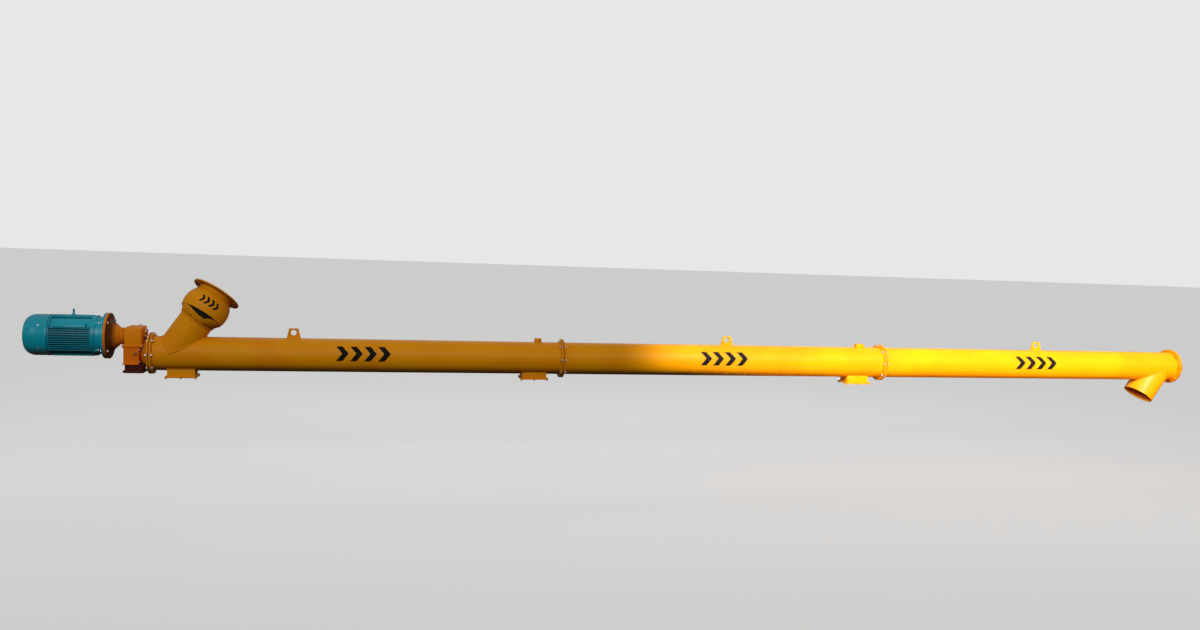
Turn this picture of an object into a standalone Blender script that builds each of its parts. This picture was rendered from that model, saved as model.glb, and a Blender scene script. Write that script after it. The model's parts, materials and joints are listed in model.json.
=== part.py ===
"""Tubular screw conveyor with a ball inlet, built from named solids in metres, +Z up.

Stations run along the tube from the drive-end flange, and heights run up from the tube's
axis. The whole model hangs from one frame empty, which puts the world origin on the front
face of the middle lifting lug, just under its eye. That lug is what holds the conveyor up.
"""
from math import acos, asin, cos, pi, radians, sin, sqrt

import bmesh
import bpy

# Casing tube, its three lengths and its flanges
TUBE_R = 0.1365
WALL = 0.006
SECTION_LENGTHS = (3.300, 3.005, 3.165)
FLANGE_R = 0.165
FLANGE_T = 0.015
ROUND = 48
GAP = 0.0003
STATIONS = (0.0, SECTION_LENGTHS[0], SECTION_LENGTHS[0] + SECTION_LENGTHS[1], sum(SECTION_LENGTHS))

# Leaning inlet pipe with the cup and the rubber liner that the ball turns on
BRANCH_BORE_R = 0.1285
INLET_X = 0.149
INLET_LEAN = radians(34.3)
INLET_PIPE_R = BRANCH_BORE_R + WALL
BALL_UP = 0.439
CUP_R = 0.1737
CUP_RIM = radians(100)
LINER_T = 0.0025
LINER_TOP, LINER_LOW = radians(80), radians(106)

# Ball cap with its neck and silo flange, tipped away from the viewer
BALL_R = 0.182
CAP_WALL = 0.004
CAP_RIM = radians(111)
CAP_LEAN, CAP_TIP = radians(31.7), radians(21)
CAP_CLEAR = 0.0055
NECK_R = 0.1365
INLET_FLANGE_R, INLET_FLANGE_T, INLET_FLANGE_UP = 0.197, 0.010, 0.143
INLET_BOLT_CIRCLE_R, INLET_BOLT_HOLE_R, INLET_BOLTS = 0.172, 0.009, 8

# Outlet spout, leaning back down towards the drive, and the end of the casing
SPOUT_X = 9.325
SPOUT_LEAN = radians(33)
SPOUT_LENGTH = 0.340
END_COVER_T = 0.010
BEARING_R, BEARING_L = 0.046, 0.045
BEARING_PLATE_R, BEARING_PLATE_T = 0.072, 0.014
BEARING_BEVEL = 0.006

# Inspection hatches under the tube, each with its own depth below the axis
FIRST_HATCH_X = 0.227
HATCH_BEFORE_JOINT = 0.2375
HATCH_DROPS = (0.188, 0.177, 0.193)
HATCH_L, HATCH_W = 0.208, 0.140
HATCH_RIM_L, HATCH_RIM_W, HATCH_RIM_T = 0.236, 0.180, 0.006
HATCH_COVER_T = 0.004
HATCH_WALL = 0.005

# Hanger bearings and the grease blocks over them
HANGER_BEFORE_JOINT = 0.205
BLOCK_LENGTHS, BLOCK_W, BLOCK_H, BLOCK_BEVEL = (0.055, 0.077), 0.055, 0.034, 0.006
HANGER_R, HANGER_L = 0.048, 0.060
STRAP_HALF_T, STRAP_HALF_W = 0.012, 0.022

# Lifting lugs
LUG_STATIONS = (1.077, 4.806, 7.950)
LUG_BASE, LUG_TOP, LUG_H, LUG_T, LUG_HEEL = 0.106, 0.072, 0.080, 0.012, 0.010
LUG_EYE_R, LUG_EYE_UP = 0.023, 0.045
LUG_ORIGIN_UP = 0.011

# Screw
SHAFT_R, STUB_R = 0.0445, 0.0250
SHAFT_START, SHAFT_END_BACK = 0.045, 0.010
STUB_OUT = 0.055
HANGER_CLEAR = 0.006
FLIGHT_R, FLIGHT_T, FLIGHT_ROOT = 0.122, 0.005, 0.004
FLIGHT_END_BACK = 0.010
PITCH = 0.250
FLIGHT_STEPS = 8

# Motor, on an axis of its own above the tube
MOTOR_Z = 0.133
COWL_X0, COWL_X1, COWL_R = -0.919, -0.728, 0.160
COWL_ROUND_L, COWL_ROUND_R, COWL_ROUND_STEPS = 0.078, 0.055, 5
COWL_WALL, COWL_MOUTH = 0.004, 0.090
CROWN_R, CROWN_RISE, CORNER_START = 0.055, 0.003, 0.012
BOSS_X0, BOSS_X1, BOSS_HALF_W, BOSS_R, BOSS_TURN = -0.800, -0.778, 0.012, 0.155, 57
CORE_X0, CORE_X1, CORE_R = -0.805, -0.391, 0.146
RING_R = 0.158
FRONT_RING_X0, REAR_RING_X0, REAR_RING_X1 = -0.423, -0.724, -0.714
FIN_X0, FIN_X1, FIN_T, FIN_R = -0.716, -0.420, 0.005, 0.165
FIN_STEP, LOWEST_FIN, TOP_SIDE_FIN, ACROSS_FIN = 0.0172, -6, 4, 3
ACROSS_SHORT = 0.004
FIN_ROOT = 0.095
PAD_X0, PAD_X1, PAD_HALF_W, PAD_TURN, PAD_BEVEL = -0.677, -0.452, 0.024, 54.5, 0.008
PAD_R = 0.169
SHIELD_X0, SHIELD_R, SHIELD_NECK_R = -0.3907, 0.151, 0.139
MOTOR_FLANGE_X0, MOTOR_FLANGE_T, MOTOR_FLANGE_R = -0.3415, 0.0160, 0.180
EYE_X, EYE_SEAT_R, EYE_BASE_R, EYE_BASE_H = -0.5735, 0.161, 0.017, 0.016
EYE_RING_R, EYE_WIRE_R, EYE_RING_UP = 0.015, 0.0045, 0.029

# Bell adapter between motor and gearbox
BELL_X0 = MOTOR_FLANGE_X0 + MOTOR_FLANGE_T + GAP
BELL_RING_T = 0.0200
BELL_CONE_R, BELL_CONE_FOOT, BELL_CONE_END, BELL_CONE_END_R = 0.128, 0.008, -0.2255, 0.062
COLLAR_X0, COLLAR_X1, COLLAR_R = -0.2225, -0.2025, 0.066
BELL_END, BELL_END_R = -0.1883, 0.060

# Helical gearbox
GEARBOX_HALF_W = 0.105
UPPER_X0, UPPER_X1, UPPER_TOP, UPPER_BEVEL = -0.188, -0.058, 0.211, 0.014
SPLIT_Z = 0.063
LIP_T, LIP_OUT, LIP_END = 0.008, 0.006, 0.014
LOWER_X0, LOWER_X1, LOWER_BOTTOM, LOWER_BEVEL = -0.192, -0.0775, -0.083, 0.008
SOLE_T, SOLE_OUT = 0.010, 0.005
BASE_X0, BASE_X1, BASE_BOTTOM, BASE_HALF_W = -0.184, -0.045, -0.151, 0.090
FOOT_X0, FOOT_T, FOOT_HALF_W, FOOT_ROUND = -0.209, 0.012, 0.100, 0.055
COVER_RIM_R, COVER_R, COVER_SHOULDER_R, COVER_NECK_R = 0.118, 0.112, 0.098, 0.062
COVER_RIM_T, COVER_SHOULDER_X = 0.010, 0.022
BREATHER_X, BREATHER_R, BREATHER_STEM_R, BREATHER_H = -0.088, 0.011, 0.008, 0.020
PLUG_X, PLUG_Z, PLUG_R, PLUG_H, PLUG_BEVEL = -0.103, 0.003, 0.013, 0.009, 0.002

TURN_TO_X = (0, pi / 2, 0)
TURN_TO_FRONT = (pi / 2, 0, 0)

for leftover in list(bpy.data.objects):
    bpy.data.objects.remove(leftover, do_unlink=True)

PARTS = bpy.data.collections.new("screw_conveyor")
CUTTERS = bpy.data.collections.new("cutters")
bpy.context.scene.collection.children.link(PARTS)
bpy.context.scene.collection.children.link(CUTTERS)

YELLOW = ("yellow_enamel", (0.80, 0.42, 0.005), 0.38)
ORANGE = ("orange_enamel", (0.62, 0.20, 0.010), 0.42)
BROWN = ("brown_primed_iron", (0.28, 0.09, 0.015), 0.55)
TEAL = ("teal_enamel", (0.006, 0.19, 0.24), 0.35)
ZINC = ("zinc_plated_steel", (0.60, 0.60, 0.58), 0.35, 1.0)
STEEL = ("worn_screw_steel", (0.30, 0.28, 0.26), 0.50, 0.9)
RUBBER = ("black_rubber", (0.012, 0.012, 0.013), 0.80)
BRASS = ("brass_plug", (0.55, 0.40, 0.16), 0.35, 1.0)


def paint(name, colour, roughness, metallic=0.0):
    """Make one plain material for a sub-part."""
    material = bpy.data.materials.new(name)
    material.use_nodes = True
    shader = material.node_tree.nodes["Principled BSDF"]
    shader.inputs["Base Color"].default_value = (*colour, 1)
    shader.inputs["Roughness"].default_value = roughness
    shader.inputs["Metallic"].default_value = metallic
    return material


def empty(name, place, turn=(0, 0, 0), parent=None):
    """Make an empty that carries other pieces."""
    holder = bpy.data.objects.new(name, None)
    PARTS.objects.link(holder)
    holder.location = place
    holder.rotation_euler = turn
    holder.parent = parent
    return holder


FRAME = empty("conveyor_frame", (-LUG_STATIONS[1], LUG_T / 2, -(TUBE_R + GAP + LUG_ORIGIN_UP)))


def add(name, mesh, look, place=(0, 0, 0), turn=(0, 0, 0), parent=FRAME, collection=PARTS):
    """Put a mesh in the scene as one named object, hung from the frame or another empty."""
    piece = bpy.data.objects.new(name, mesh)
    collection.objects.link(piece)
    piece.location = place
    piece.rotation_euler = turn
    piece.parent = parent
    if collection is CUTTERS:
        piece.hide_render = True
        piece.display_type = "WIRE"
    else:
        mesh.materials.append(paint(name + "_" + look[0], *look[1:]))
    return piece


def smooth(piece, angle=35):
    """Shade a round piece smooth and keep its real edges sharp."""
    piece.data.shade_smooth()
    piece.data.set_sharp_from_angle(angle=radians(angle))
    return piece


def baked(piece):
    """Apply a piece's modifiers to its mesh, so that later cuts start from a plain mesh."""
    bpy.context.view_layer.update()
    graph = bpy.context.evaluated_depsgraph_get()
    mesh = bpy.data.meshes.new_from_object(piece.evaluated_get(graph), depsgraph=graph)
    piece.modifiers.clear()
    piece.data = mesh
    return piece


def turned(name, profile, look, place=(0, 0, 0), turn=TURN_TO_X, ring=True, steps=ROUND, **where):
    """Turn a profile of (radius, height) points about the piece's Z. A ring's profile closes on itself."""
    mesh = bpy.data.meshes.new(name)
    form = bmesh.new()
    points = [form.verts.new((radius, 0, height)) for radius, height in profile]
    for first, second in zip(points, points[1:]):
        form.edges.new((first, second))
    if ring:
        form.edges.new((points[-1], points[0]))
    form.to_mesh(mesh)
    form.free()
    piece = add(name, mesh, look, place, turn, **where)
    screw = piece.modifiers.new("turn", "SCREW")
    screw.axis = "Z"
    screw.steps = screw.render_steps = steps
    screw.use_merge_vertices = True
    screw.merge_threshold = 0.00005
    return smooth(baked(piece))


def arc(radius, start, end, steps):
    """Points (radius, height) on a circle about the origin, by angle from the piece's Z."""
    angles = [start + (end - start) * step / steps for step in range(steps + 1)]
    return [(radius * sin(angle), radius * cos(angle)) for angle in angles]


def pipe_profile(outer, inner, low, high):
    """The closed profile of a plain pipe."""
    return [(inner, high), (outer, high), (outer, low), (inner, low)]


def rod(name, radius, low, high, look, steps=ROUND, **where):
    """A plain solid cylinder along the piece's Z, from low to high."""
    mesh = bpy.data.meshes.new(name)
    form = bmesh.new()
    bmesh.ops.create_cone(form, cap_ends=True, segments=steps, radius1=radius, radius2=radius,
                          depth=high - low)
    bmesh.ops.translate(form, verts=form.verts, vec=(0, 0, (low + high) / 2))
    form.to_mesh(mesh)
    form.free()
    return smooth(add(name, mesh, look, **where))


def block(name, low, high, look, bevel=0.0, **where):
    """A box between two corners, with rounded edges where a bevel is given."""
    mesh = bpy.data.meshes.new(name)
    form = bmesh.new()
    bmesh.ops.create_cube(form, size=1)
    bmesh.ops.scale(form, verts=form.verts, vec=[b - a for a, b in zip(low, high)])
    bmesh.ops.translate(form, verts=form.verts, vec=[(a + b) / 2 for a, b in zip(low, high)])
    form.to_mesh(mesh)
    form.free()
    piece = add(name, mesh, look, **where)
    if bevel:
        edge = piece.modifiers.new("rounded_edges", "BEVEL")
        edge.width = bevel
        edge.segments = 2
        smooth(baked(piece))
    return piece


def plate(name, outline, thickness, look, **where):
    """A flat outline in the piece's XZ plane, given its thickness across Y."""
    curve = bpy.data.curves.new(name + "_outline", "CURVE")
    curve.dimensions = "2D"
    curve.fill_mode = "BOTH"
    curve.extrude = thickness / 2
    line = curve.splines.new("POLY")
    line.points.add(len(outline) - 1)
    for point, (across, up) in zip(line.points, outline):
        point.co = (across, up, 0, 1)
    line.use_cyclic_u = True
    shape = bpy.data.objects.new(name + "_outline", curve)
    PARTS.objects.link(shape)
    bpy.context.view_layer.update()
    graph = bpy.context.evaluated_depsgraph_get()
    mesh = bpy.data.meshes.new_from_object(shape.evaluated_get(graph), depsgraph=graph)
    form = bmesh.new()
    form.from_mesh(mesh)
    bmesh.ops.remove_doubles(form, verts=form.verts, dist=0.00005)
    form.to_mesh(mesh)
    form.free()
    bpy.data.objects.remove(shape, do_unlink=True)
    mesh.name = name
    mesh.materials.clear()
    return add(name, mesh, look, turn=TURN_TO_FRONT, **where)


def combine(piece, others, operation):
    """Join or cut a piece with others that are used up by it, then bake the result."""
    for other in others:
        change = piece.modifiers.new(operation.lower(), "BOOLEAN")
        change.operation = operation
        change.solver = "EXACT"
        change.object = other
    baked(piece)
    for other in others:
        bpy.data.objects.remove(other, do_unlink=True)
    return piece


def cutter_rod(radius, low, high, steps=ROUND, **where):
    """A cylinder that cuts a hole and is then gone."""
    return rod("cutter", radius, low, high, None, steps=steps, collection=CUTTERS, **where)


def cutter_block(low, high):
    """A box that cuts a piece and is then gone."""
    return block("cutter", low, high, None, collection=CUTTERS)


def tube_cutter(start, end):
    """The space that the casing tube takes up between two stations."""
    return cutter_rod(TUBE_R + GAP, start, end, turn=TURN_TO_X)


def branch(station, lean):
    """The place and turn of a branch pipe that leans from straight up towards the outlet."""
    return dict(place=(station, 0, 0), turn=(0, lean, 0))


def make_casing():
    """The three tube lengths, with the inlet's and outlet's openings, and a flange at each end."""
    openings = {1: branch(INLET_X, INLET_LEAN), 3: branch(SPOUT_X, SPOUT_LEAN + pi)}
    for number, (start, end) in enumerate(zip(STATIONS, STATIONS[1:]), 1):
        low, high = start + GAP / 2, end - GAP / 2
        tube = turned("casing_tube_%d" % number, pipe_profile(TUBE_R, TUBE_R - WALL, low, high), YELLOW)
        if number in openings:
            combine(tube, [cutter_rod(BRANCH_BORE_R, 0, 3 * TUBE_R, **openings[number])], "DIFFERENCE")
            smooth(tube)
        for side, edge in (("inlet", low), ("outlet", high - FLANGE_T)):
            ring = pipe_profile(FLANGE_R, TUBE_R + GAP, edge, edge + FLANGE_T)
            turned("tube_%d_%s_side_flange" % (number, side), ring, YELLOW)


def make_inlet_pipe():
    """The leaning pipe, and on top of it the cup and the rubber liner."""
    cup_foot = sqrt(CUP_R ** 2 - INLET_PIPE_R ** 2)
    profile = pipe_profile(INLET_PIPE_R, BRANCH_BORE_R, 0, BALL_UP - cup_foot - GAP)
    pipe = turned("inlet_pipe", profile, YELLOW, **branch(INLET_X, INLET_LEAN))
    smooth(combine(pipe, [tube_cutter(-TUBE_R, 3 * TUBE_R)], "DIFFERENCE"))

    ball_turn = dict(place=ball_middle(), turn=(0, INLET_LEAN, 0))
    cup_inner = CUP_R - WALL
    outside = arc(CUP_R, CUP_RIM, pi - asin(INLET_PIPE_R / CUP_R), 4)
    inside = arc(cup_inner, pi - acos(cup_foot / cup_inner), CUP_RIM, 4)
    turned("ball_cup", outside + inside, YELLOW, **ball_turn)

    outside = arc(CUP_R + GAP + LINER_T, LINER_TOP, LINER_LOW, 5)
    inside = arc(CUP_R + GAP, LINER_LOW, LINER_TOP, 5)
    turned("ball_liner", outside + inside, RUBBER, **ball_turn)


def ball_middle():
    """The middle of the ball, which its swivel axis runs through."""
    return (INLET_X + BALL_UP * sin(INLET_LEAN), 0, BALL_UP * cos(INLET_LEAN))


def make_ball_cap():
    """The cap of the ball with its neck, and the silo flange with its bolt holes."""
    swivel = empty("inlet_swivel_axis", ball_middle(), (-CAP_TIP, CAP_LEAN, 0), FRAME)
    level = dict(turn=(0, 0, 0), parent=swivel)
    inner_r, bore_r, neck_top = BALL_R - CAP_WALL, NECK_R - WALL, INLET_FLANGE_UP - GAP
    outside = arc(BALL_R, asin(NECK_R / BALL_R), CAP_RIM, 7)
    inside = arc(inner_r, CAP_RIM, asin(bore_r / inner_r), 5)
    cap = turned("ball_cap", [(bore_r, neck_top), (NECK_R, neck_top)] + outside + inside, YELLOW, **level)
    round_pipe = cutter_rod(INLET_PIPE_R + CAP_CLEAR, 0, BALL_UP, **branch(INLET_X, INLET_LEAN))
    smooth(combine(cap, [round_pipe], "DIFFERENCE"))

    flange_top = INLET_FLANGE_UP + INLET_FLANGE_T
    ring = pipe_profile(INLET_FLANGE_R, bore_r, INLET_FLANGE_UP, flange_top)
    flange = turned("inlet_flange", ring, YELLOW, **level)
    holes = []
    for number in range(INLET_BOLTS):
        angle = 2 * pi * (number + 0.5) / INLET_BOLTS
        place = (INLET_BOLT_CIRCLE_R * cos(angle), INLET_BOLT_CIRCLE_R * sin(angle), 0)
        holes.append(cutter_rod(INLET_BOLT_HOLE_R, INLET_FLANGE_UP / 2, 2 * flange_top, steps=12,
                                place=place, parent=swivel))
    smooth(combine(flange, holes, "DIFFERENCE"))


def make_outlet():
    """The plain open spout under the far end, cut to the tube, and the end's cover and bearing."""
    profile = pipe_profile(TUBE_R, TUBE_R - WALL, 0, SPOUT_LENGTH)
    spout = turned("outlet_spout", profile, YELLOW, **branch(SPOUT_X, SPOUT_LEAN + pi))
    smooth(combine(spout, [tube_cutter(SPOUT_X - 4 * TUBE_R, STATIONS[3])], "DIFFERENCE"))

    face = STATIONS[3] + GAP
    bore = STUB_R + GAP
    turned("end_cover", pipe_profile(FLANGE_R, bore, face, face + END_COVER_T), YELLOW)
    seat = face + END_COVER_T + GAP
    plate_top, nose = seat + BEARING_PLATE_T, seat + BEARING_L
    housing = [(bore, nose), (BEARING_R - BEARING_BEVEL, nose), (BEARING_R, nose - BEARING_BEVEL),
               (BEARING_R, plate_top), (BEARING_PLATE_R, plate_top), (BEARING_PLATE_R, seat), (bore, seat)]
    turned("end_bearing", housing, ORANGE)


def make_hatches():
    """Each hatch is a short box welded under the tube, with a rim and a flat cover."""
    middles = (FIRST_HATCH_X, STATIONS[1] - HATCH_BEFORE_JOINT, STATIONS[2] - HATCH_BEFORE_JOINT)
    half_l, half_w = HATCH_L / 2, HATCH_W / 2
    rim_l, rim_w = HATCH_RIM_L / 2, HATCH_RIM_W / 2
    for number, (middle, drop) in enumerate(zip(middles, HATCH_DROPS), 1):
        rim_z = -drop + HATCH_COVER_T + GAP
        walls = block("hatch_frame_%d" % number, (middle - half_l, -half_w, rim_z + HATCH_RIM_T / 2),
                      (middle + half_l, half_w, -TUBE_R / 2), YELLOW)
        rim = block("rim", (middle - rim_l, -rim_w, rim_z),
                    (middle + rim_l, rim_w, rim_z + HATCH_RIM_T), YELLOW)
        combine(walls, [rim], "UNION")
        hollow = cutter_block((middle - half_l + HATCH_WALL, HATCH_WALL - half_w, -2 * drop),
                              (middle + half_l - HATCH_WALL, half_w - HATCH_WALL, 0))
        combine(walls, [hollow, tube_cutter(middle - HATCH_L, middle + HATCH_L)], "DIFFERENCE")
        block("hatch_cover_%d" % number, (middle - rim_l, -rim_w, -drop),
              (middle + rim_l, rim_w, -drop + HATCH_COVER_T), YELLOW)


def hanger_stations():
    """The stations of the two hanger bearings, just before each joint."""
    return (STATIONS[1] - HANGER_BEFORE_JOINT, STATIONS[2] - HANGER_BEFORE_JOINT)


def make_hangers():
    """A bearing hung inside the tube at each joint, and the grease block above it outside."""
    for number, (middle, length) in enumerate(zip(hanger_stations(), BLOCK_LENGTHS), 1):
        outside = block("grease_block_%d" % number, (middle - length / 2, -BLOCK_W / 2, TUBE_R / 2),
                        (middle + length / 2, BLOCK_W / 2, TUBE_R + GAP + BLOCK_H), YELLOW,
                        bevel=BLOCK_BEVEL)
        combine(outside, [tube_cutter(middle - length, middle + length)], "DIFFERENCE")
        barrel = rod("hanger_bearing_%d" % number, HANGER_R, middle - HANGER_L / 2, middle + HANGER_L / 2,
                     STEEL, steps=32, turn=TURN_TO_X)
        strap_top = sqrt((TUBE_R - WALL) ** 2 - STRAP_HALF_W ** 2) - 2 * GAP
        strap = block("strap", (middle - STRAP_HALF_T, -STRAP_HALF_W, STUB_R + 2 * GAP),
                      (middle + STRAP_HALF_T, STRAP_HALF_W, strap_top), STEEL)
        combine(barrel, [strap], "UNION")
        bore = cutter_rod(STUB_R + GAP, middle - HANGER_L, middle + HANGER_L, steps=32, turn=TURN_TO_X)
        combine(barrel, [bore], "DIFFERENCE")


def make_lugs():
    """The three lifting plates on top of the tube, each with an eye."""
    foot = TUBE_R + GAP
    heel, crest = foot + LUG_HEEL, foot + LUG_H
    half, top = LUG_BASE / 2, LUG_TOP / 2
    outline = [(-half, foot), (half, foot), (half, heel), (top, crest), (-top, crest), (-half, heel)]
    for number, station in enumerate(LUG_STATIONS, 1):
        lug = plate("lifting_lug_%d" % number, outline, LUG_T, YELLOW, place=(station, 0, 0))
        eye = cutter_rod(LUG_EYE_R, -LUG_T, LUG_T, steps=24, place=(station, 0, foot + LUG_EYE_UP),
                         turn=TURN_TO_FRONT)
        combine(lug, [eye], "DIFFERENCE")


def helical_flight(start, end):
    """One run of flight along the shaft, as a turned radial line with a plate's thickness."""
    mesh = bpy.data.meshes.new("flight")
    form = bmesh.new()
    inner = form.verts.new((SHAFT_R - FLIGHT_ROOT, 0, 0))
    outer = form.verts.new((FLIGHT_R, 0, 0))
    form.edges.new((inner, outer))
    form.to_mesh(mesh)
    form.free()
    flight = add("flight", mesh, STEEL, (start, 0, 0), TURN_TO_X)
    turns = (end - start) / PITCH
    helix = flight.modifiers.new("helix", "SCREW")
    helix.axis = "Z"
    helix.angle = 2 * pi * turns
    helix.screw_offset = end - start
    helix.steps = helix.render_steps = round(FLIGHT_STEPS * turns)
    helix.use_merge_vertices = False
    thick = flight.modifiers.new("plate", "SOLIDIFY")
    thick.thickness = FLIGHT_T
    thick.offset = 0
    return baked(flight)


def make_screw():
    """Three screw lengths, each a pipe shaft with stubs in its bearings and a flight."""
    first, second = hanger_stations()
    beside = HANGER_L / 2 + HANGER_CLEAR
    outer_end = STATIONS[3] + STUB_OUT
    runs = ((-FLANGE_T, SHAFT_START, first - beside, first - GAP),
            (first + GAP, first + beside, second - beside, second - GAP),
            (second + GAP, second + beside, STATIONS[3] - SHAFT_END_BACK, outer_end))
    for number, (stub_start, shaft_start, shaft_end, stub_end) in enumerate(runs, 1):
        profile = [(0, stub_end), (STUB_R, stub_end), (STUB_R, shaft_end), (SHAFT_R, shaft_end),
                   (SHAFT_R, shaft_start), (STUB_R, shaft_start), (STUB_R, stub_start), (0, stub_start)]
        shaft = turned("screw_length_%d" % number, profile, STEEL, ring=False, steps=16)
        flight = helical_flight(shaft_start + FLIGHT_END_BACK, shaft_end - FLIGHT_END_BACK)
        combine(shaft, [flight], "UNION")


def motor_rod(name, radius, low, high, look, **where):
    """A cylinder on the motor's axis."""
    return rod(name, radius, low, high, look, place=(0, 0, MOTOR_Z), turn=TURN_TO_X, **where)


def motor_block(name, low, high, bevel=0.0, turn=0):
    """A box on the motor, turned about its axis by an angle in degrees."""
    return block(name, low, high, TEAL, bevel=bevel, place=(0, 0, MOTOR_Z), turn=(radians(turn), 0, 0))


def make_cowl():
    """The fan cowl: a round cap with a rounded rim, open towards the frame that it sits on."""
    face = [(0, COWL_X1), (COWL_R, COWL_X1)]
    corner = []
    for step in range(COWL_ROUND_STEPS + 1):
        angle = pi / 2 * step / COWL_ROUND_STEPS
        corner.append((COWL_R - COWL_ROUND_R * (1 - cos(angle)),
                       COWL_X0 + CORNER_START + COWL_ROUND_L * (1 - sin(angle))))
    crown = [(CROWN_R, COWL_X0 + CROWN_RISE), (0, COWL_X0)]
    cowl = turned("motor_fan_cowl", face + corner + crown, TEAL, place=(0, 0, MOTOR_Z), ring=False)
    mouth = motor_rod("cutter", COWL_R - COWL_WALL, COWL_X1 - COWL_MOUTH, COWL_X1 + COWL_MOUTH, None,
                      collection=CUTTERS)
    smooth(combine(cowl, [mouth], "DIFFERENCE"))


def make_motor_frame():
    """The finned frame, with its end rings, the four bosses that seat the cowl, and two side pads."""
    frame = motor_rod("motor_frame", CORE_R, CORE_X0, CORE_X1, TEAL)
    extras = [motor_rod("front_ring", RING_R, FRONT_RING_X0, CORE_X1, TEAL),
              motor_rod("rear_ring", RING_R, REAR_RING_X0, REAR_RING_X1, TEAL)]
    half = FIN_T / 2
    for step in range(LOWEST_FIN, TOP_SIDE_FIN + 1):
        z = step * FIN_STEP
        reach = sqrt(FIN_R ** 2 - z ** 2)
        extras.append(motor_block("fin", (FIN_X0, -reach, z - half), (FIN_X1, -FIN_ROOT, z + half)))
        extras.append(motor_block("fin", (FIN_X0, FIN_ROOT, z - half), (FIN_X1, reach, z + half)))
    for step in range(-ACROSS_FIN, ACROSS_FIN + 1):
        y = step * FIN_STEP
        reach = sqrt(FIN_R ** 2 - y ** 2) - ACROSS_SHORT
        extras.append(motor_block("fin", (FIN_X0, y - half, FIN_ROOT), (FIN_X1, y + half, reach)))
        extras.append(motor_block("fin", (FIN_X0, y - half, -reach), (FIN_X1, y + half, -FIN_ROOT)))
    for turn in (BOSS_TURN, 180 - BOSS_TURN, -BOSS_TURN, BOSS_TURN - 180):
        extras.append(motor_block("boss", (BOSS_X0, -BOSS_HALF_W, CORE_R - 2 * BOSS_HALF_W),
                                  (BOSS_X1, BOSS_HALF_W, BOSS_R), turn=turn))
    for side in (-1, 1):
        extras.append(motor_block("pad", (PAD_X0, -PAD_HALF_W, CORE_R - PAD_HALF_W),
                                  (PAD_X1, PAD_HALF_W, PAD_R), bevel=PAD_BEVEL, turn=side * PAD_TURN))
    smooth(combine(frame, extras, "UNION"))


def make_motor():
    """The cowl, the frame, the end shield with its flange, and the lifting eye."""
    make_cowl()
    make_motor_frame()
    flange_x = MOTOR_FLANGE_X0
    shield = [(0, flange_x + MOTOR_FLANGE_T), (MOTOR_FLANGE_R, flange_x + MOTOR_FLANGE_T),
              (MOTOR_FLANGE_R, flange_x), (SHIELD_NECK_R, flange_x), (SHIELD_R, SHIELD_X0), (0, SHIELD_X0)]
    turned("motor_end_shield", shield, TEAL, place=(0, 0, MOTOR_Z), ring=False)

    seat = MOTOR_Z + EYE_SEAT_R + GAP
    base_top = seat + EYE_BASE_H
    base = [(0, base_top), (EYE_WIRE_R, base_top), (EYE_BASE_R, seat), (0, seat)]
    eye = turned("motor_eye_bolt", base, TEAL, place=(EYE_X, 0, 0), turn=(0, 0, 0), ring=False, steps=16)
    bpy.ops.mesh.primitive_torus_add(major_radius=EYE_RING_R, minor_radius=EYE_WIRE_R, major_segments=20,
                                     minor_segments=8)
    loop = bpy.context.object
    loop.location = (EYE_X, 0, seat + EYE_RING_UP)
    loop.rotation_euler = TURN_TO_X
    loop.parent = FRAME
    combine(eye, [loop], "UNION")


def make_bell():
    """The bell-shaped adapter that carries the motor on the gearbox."""
    ring_end = BELL_X0 + BELL_RING_T
    profile = [(0, BELL_END), (BELL_END_R, BELL_END), (BELL_END_R, COLLAR_X1), (COLLAR_R, COLLAR_X1),
               (COLLAR_R, COLLAR_X0), (BELL_CONE_END_R, BELL_CONE_END),
               (BELL_CONE_R, ring_end + BELL_CONE_FOOT),
               (BELL_CONE_R + BELL_CONE_FOOT, ring_end), (MOTOR_FLANGE_R, ring_end),
               (MOTOR_FLANGE_R, BELL_X0), (0, BELL_X0)]
    turned("bell_adapter", profile, BROWN, place=(0, 0, MOTOR_Z), ring=False)


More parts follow.
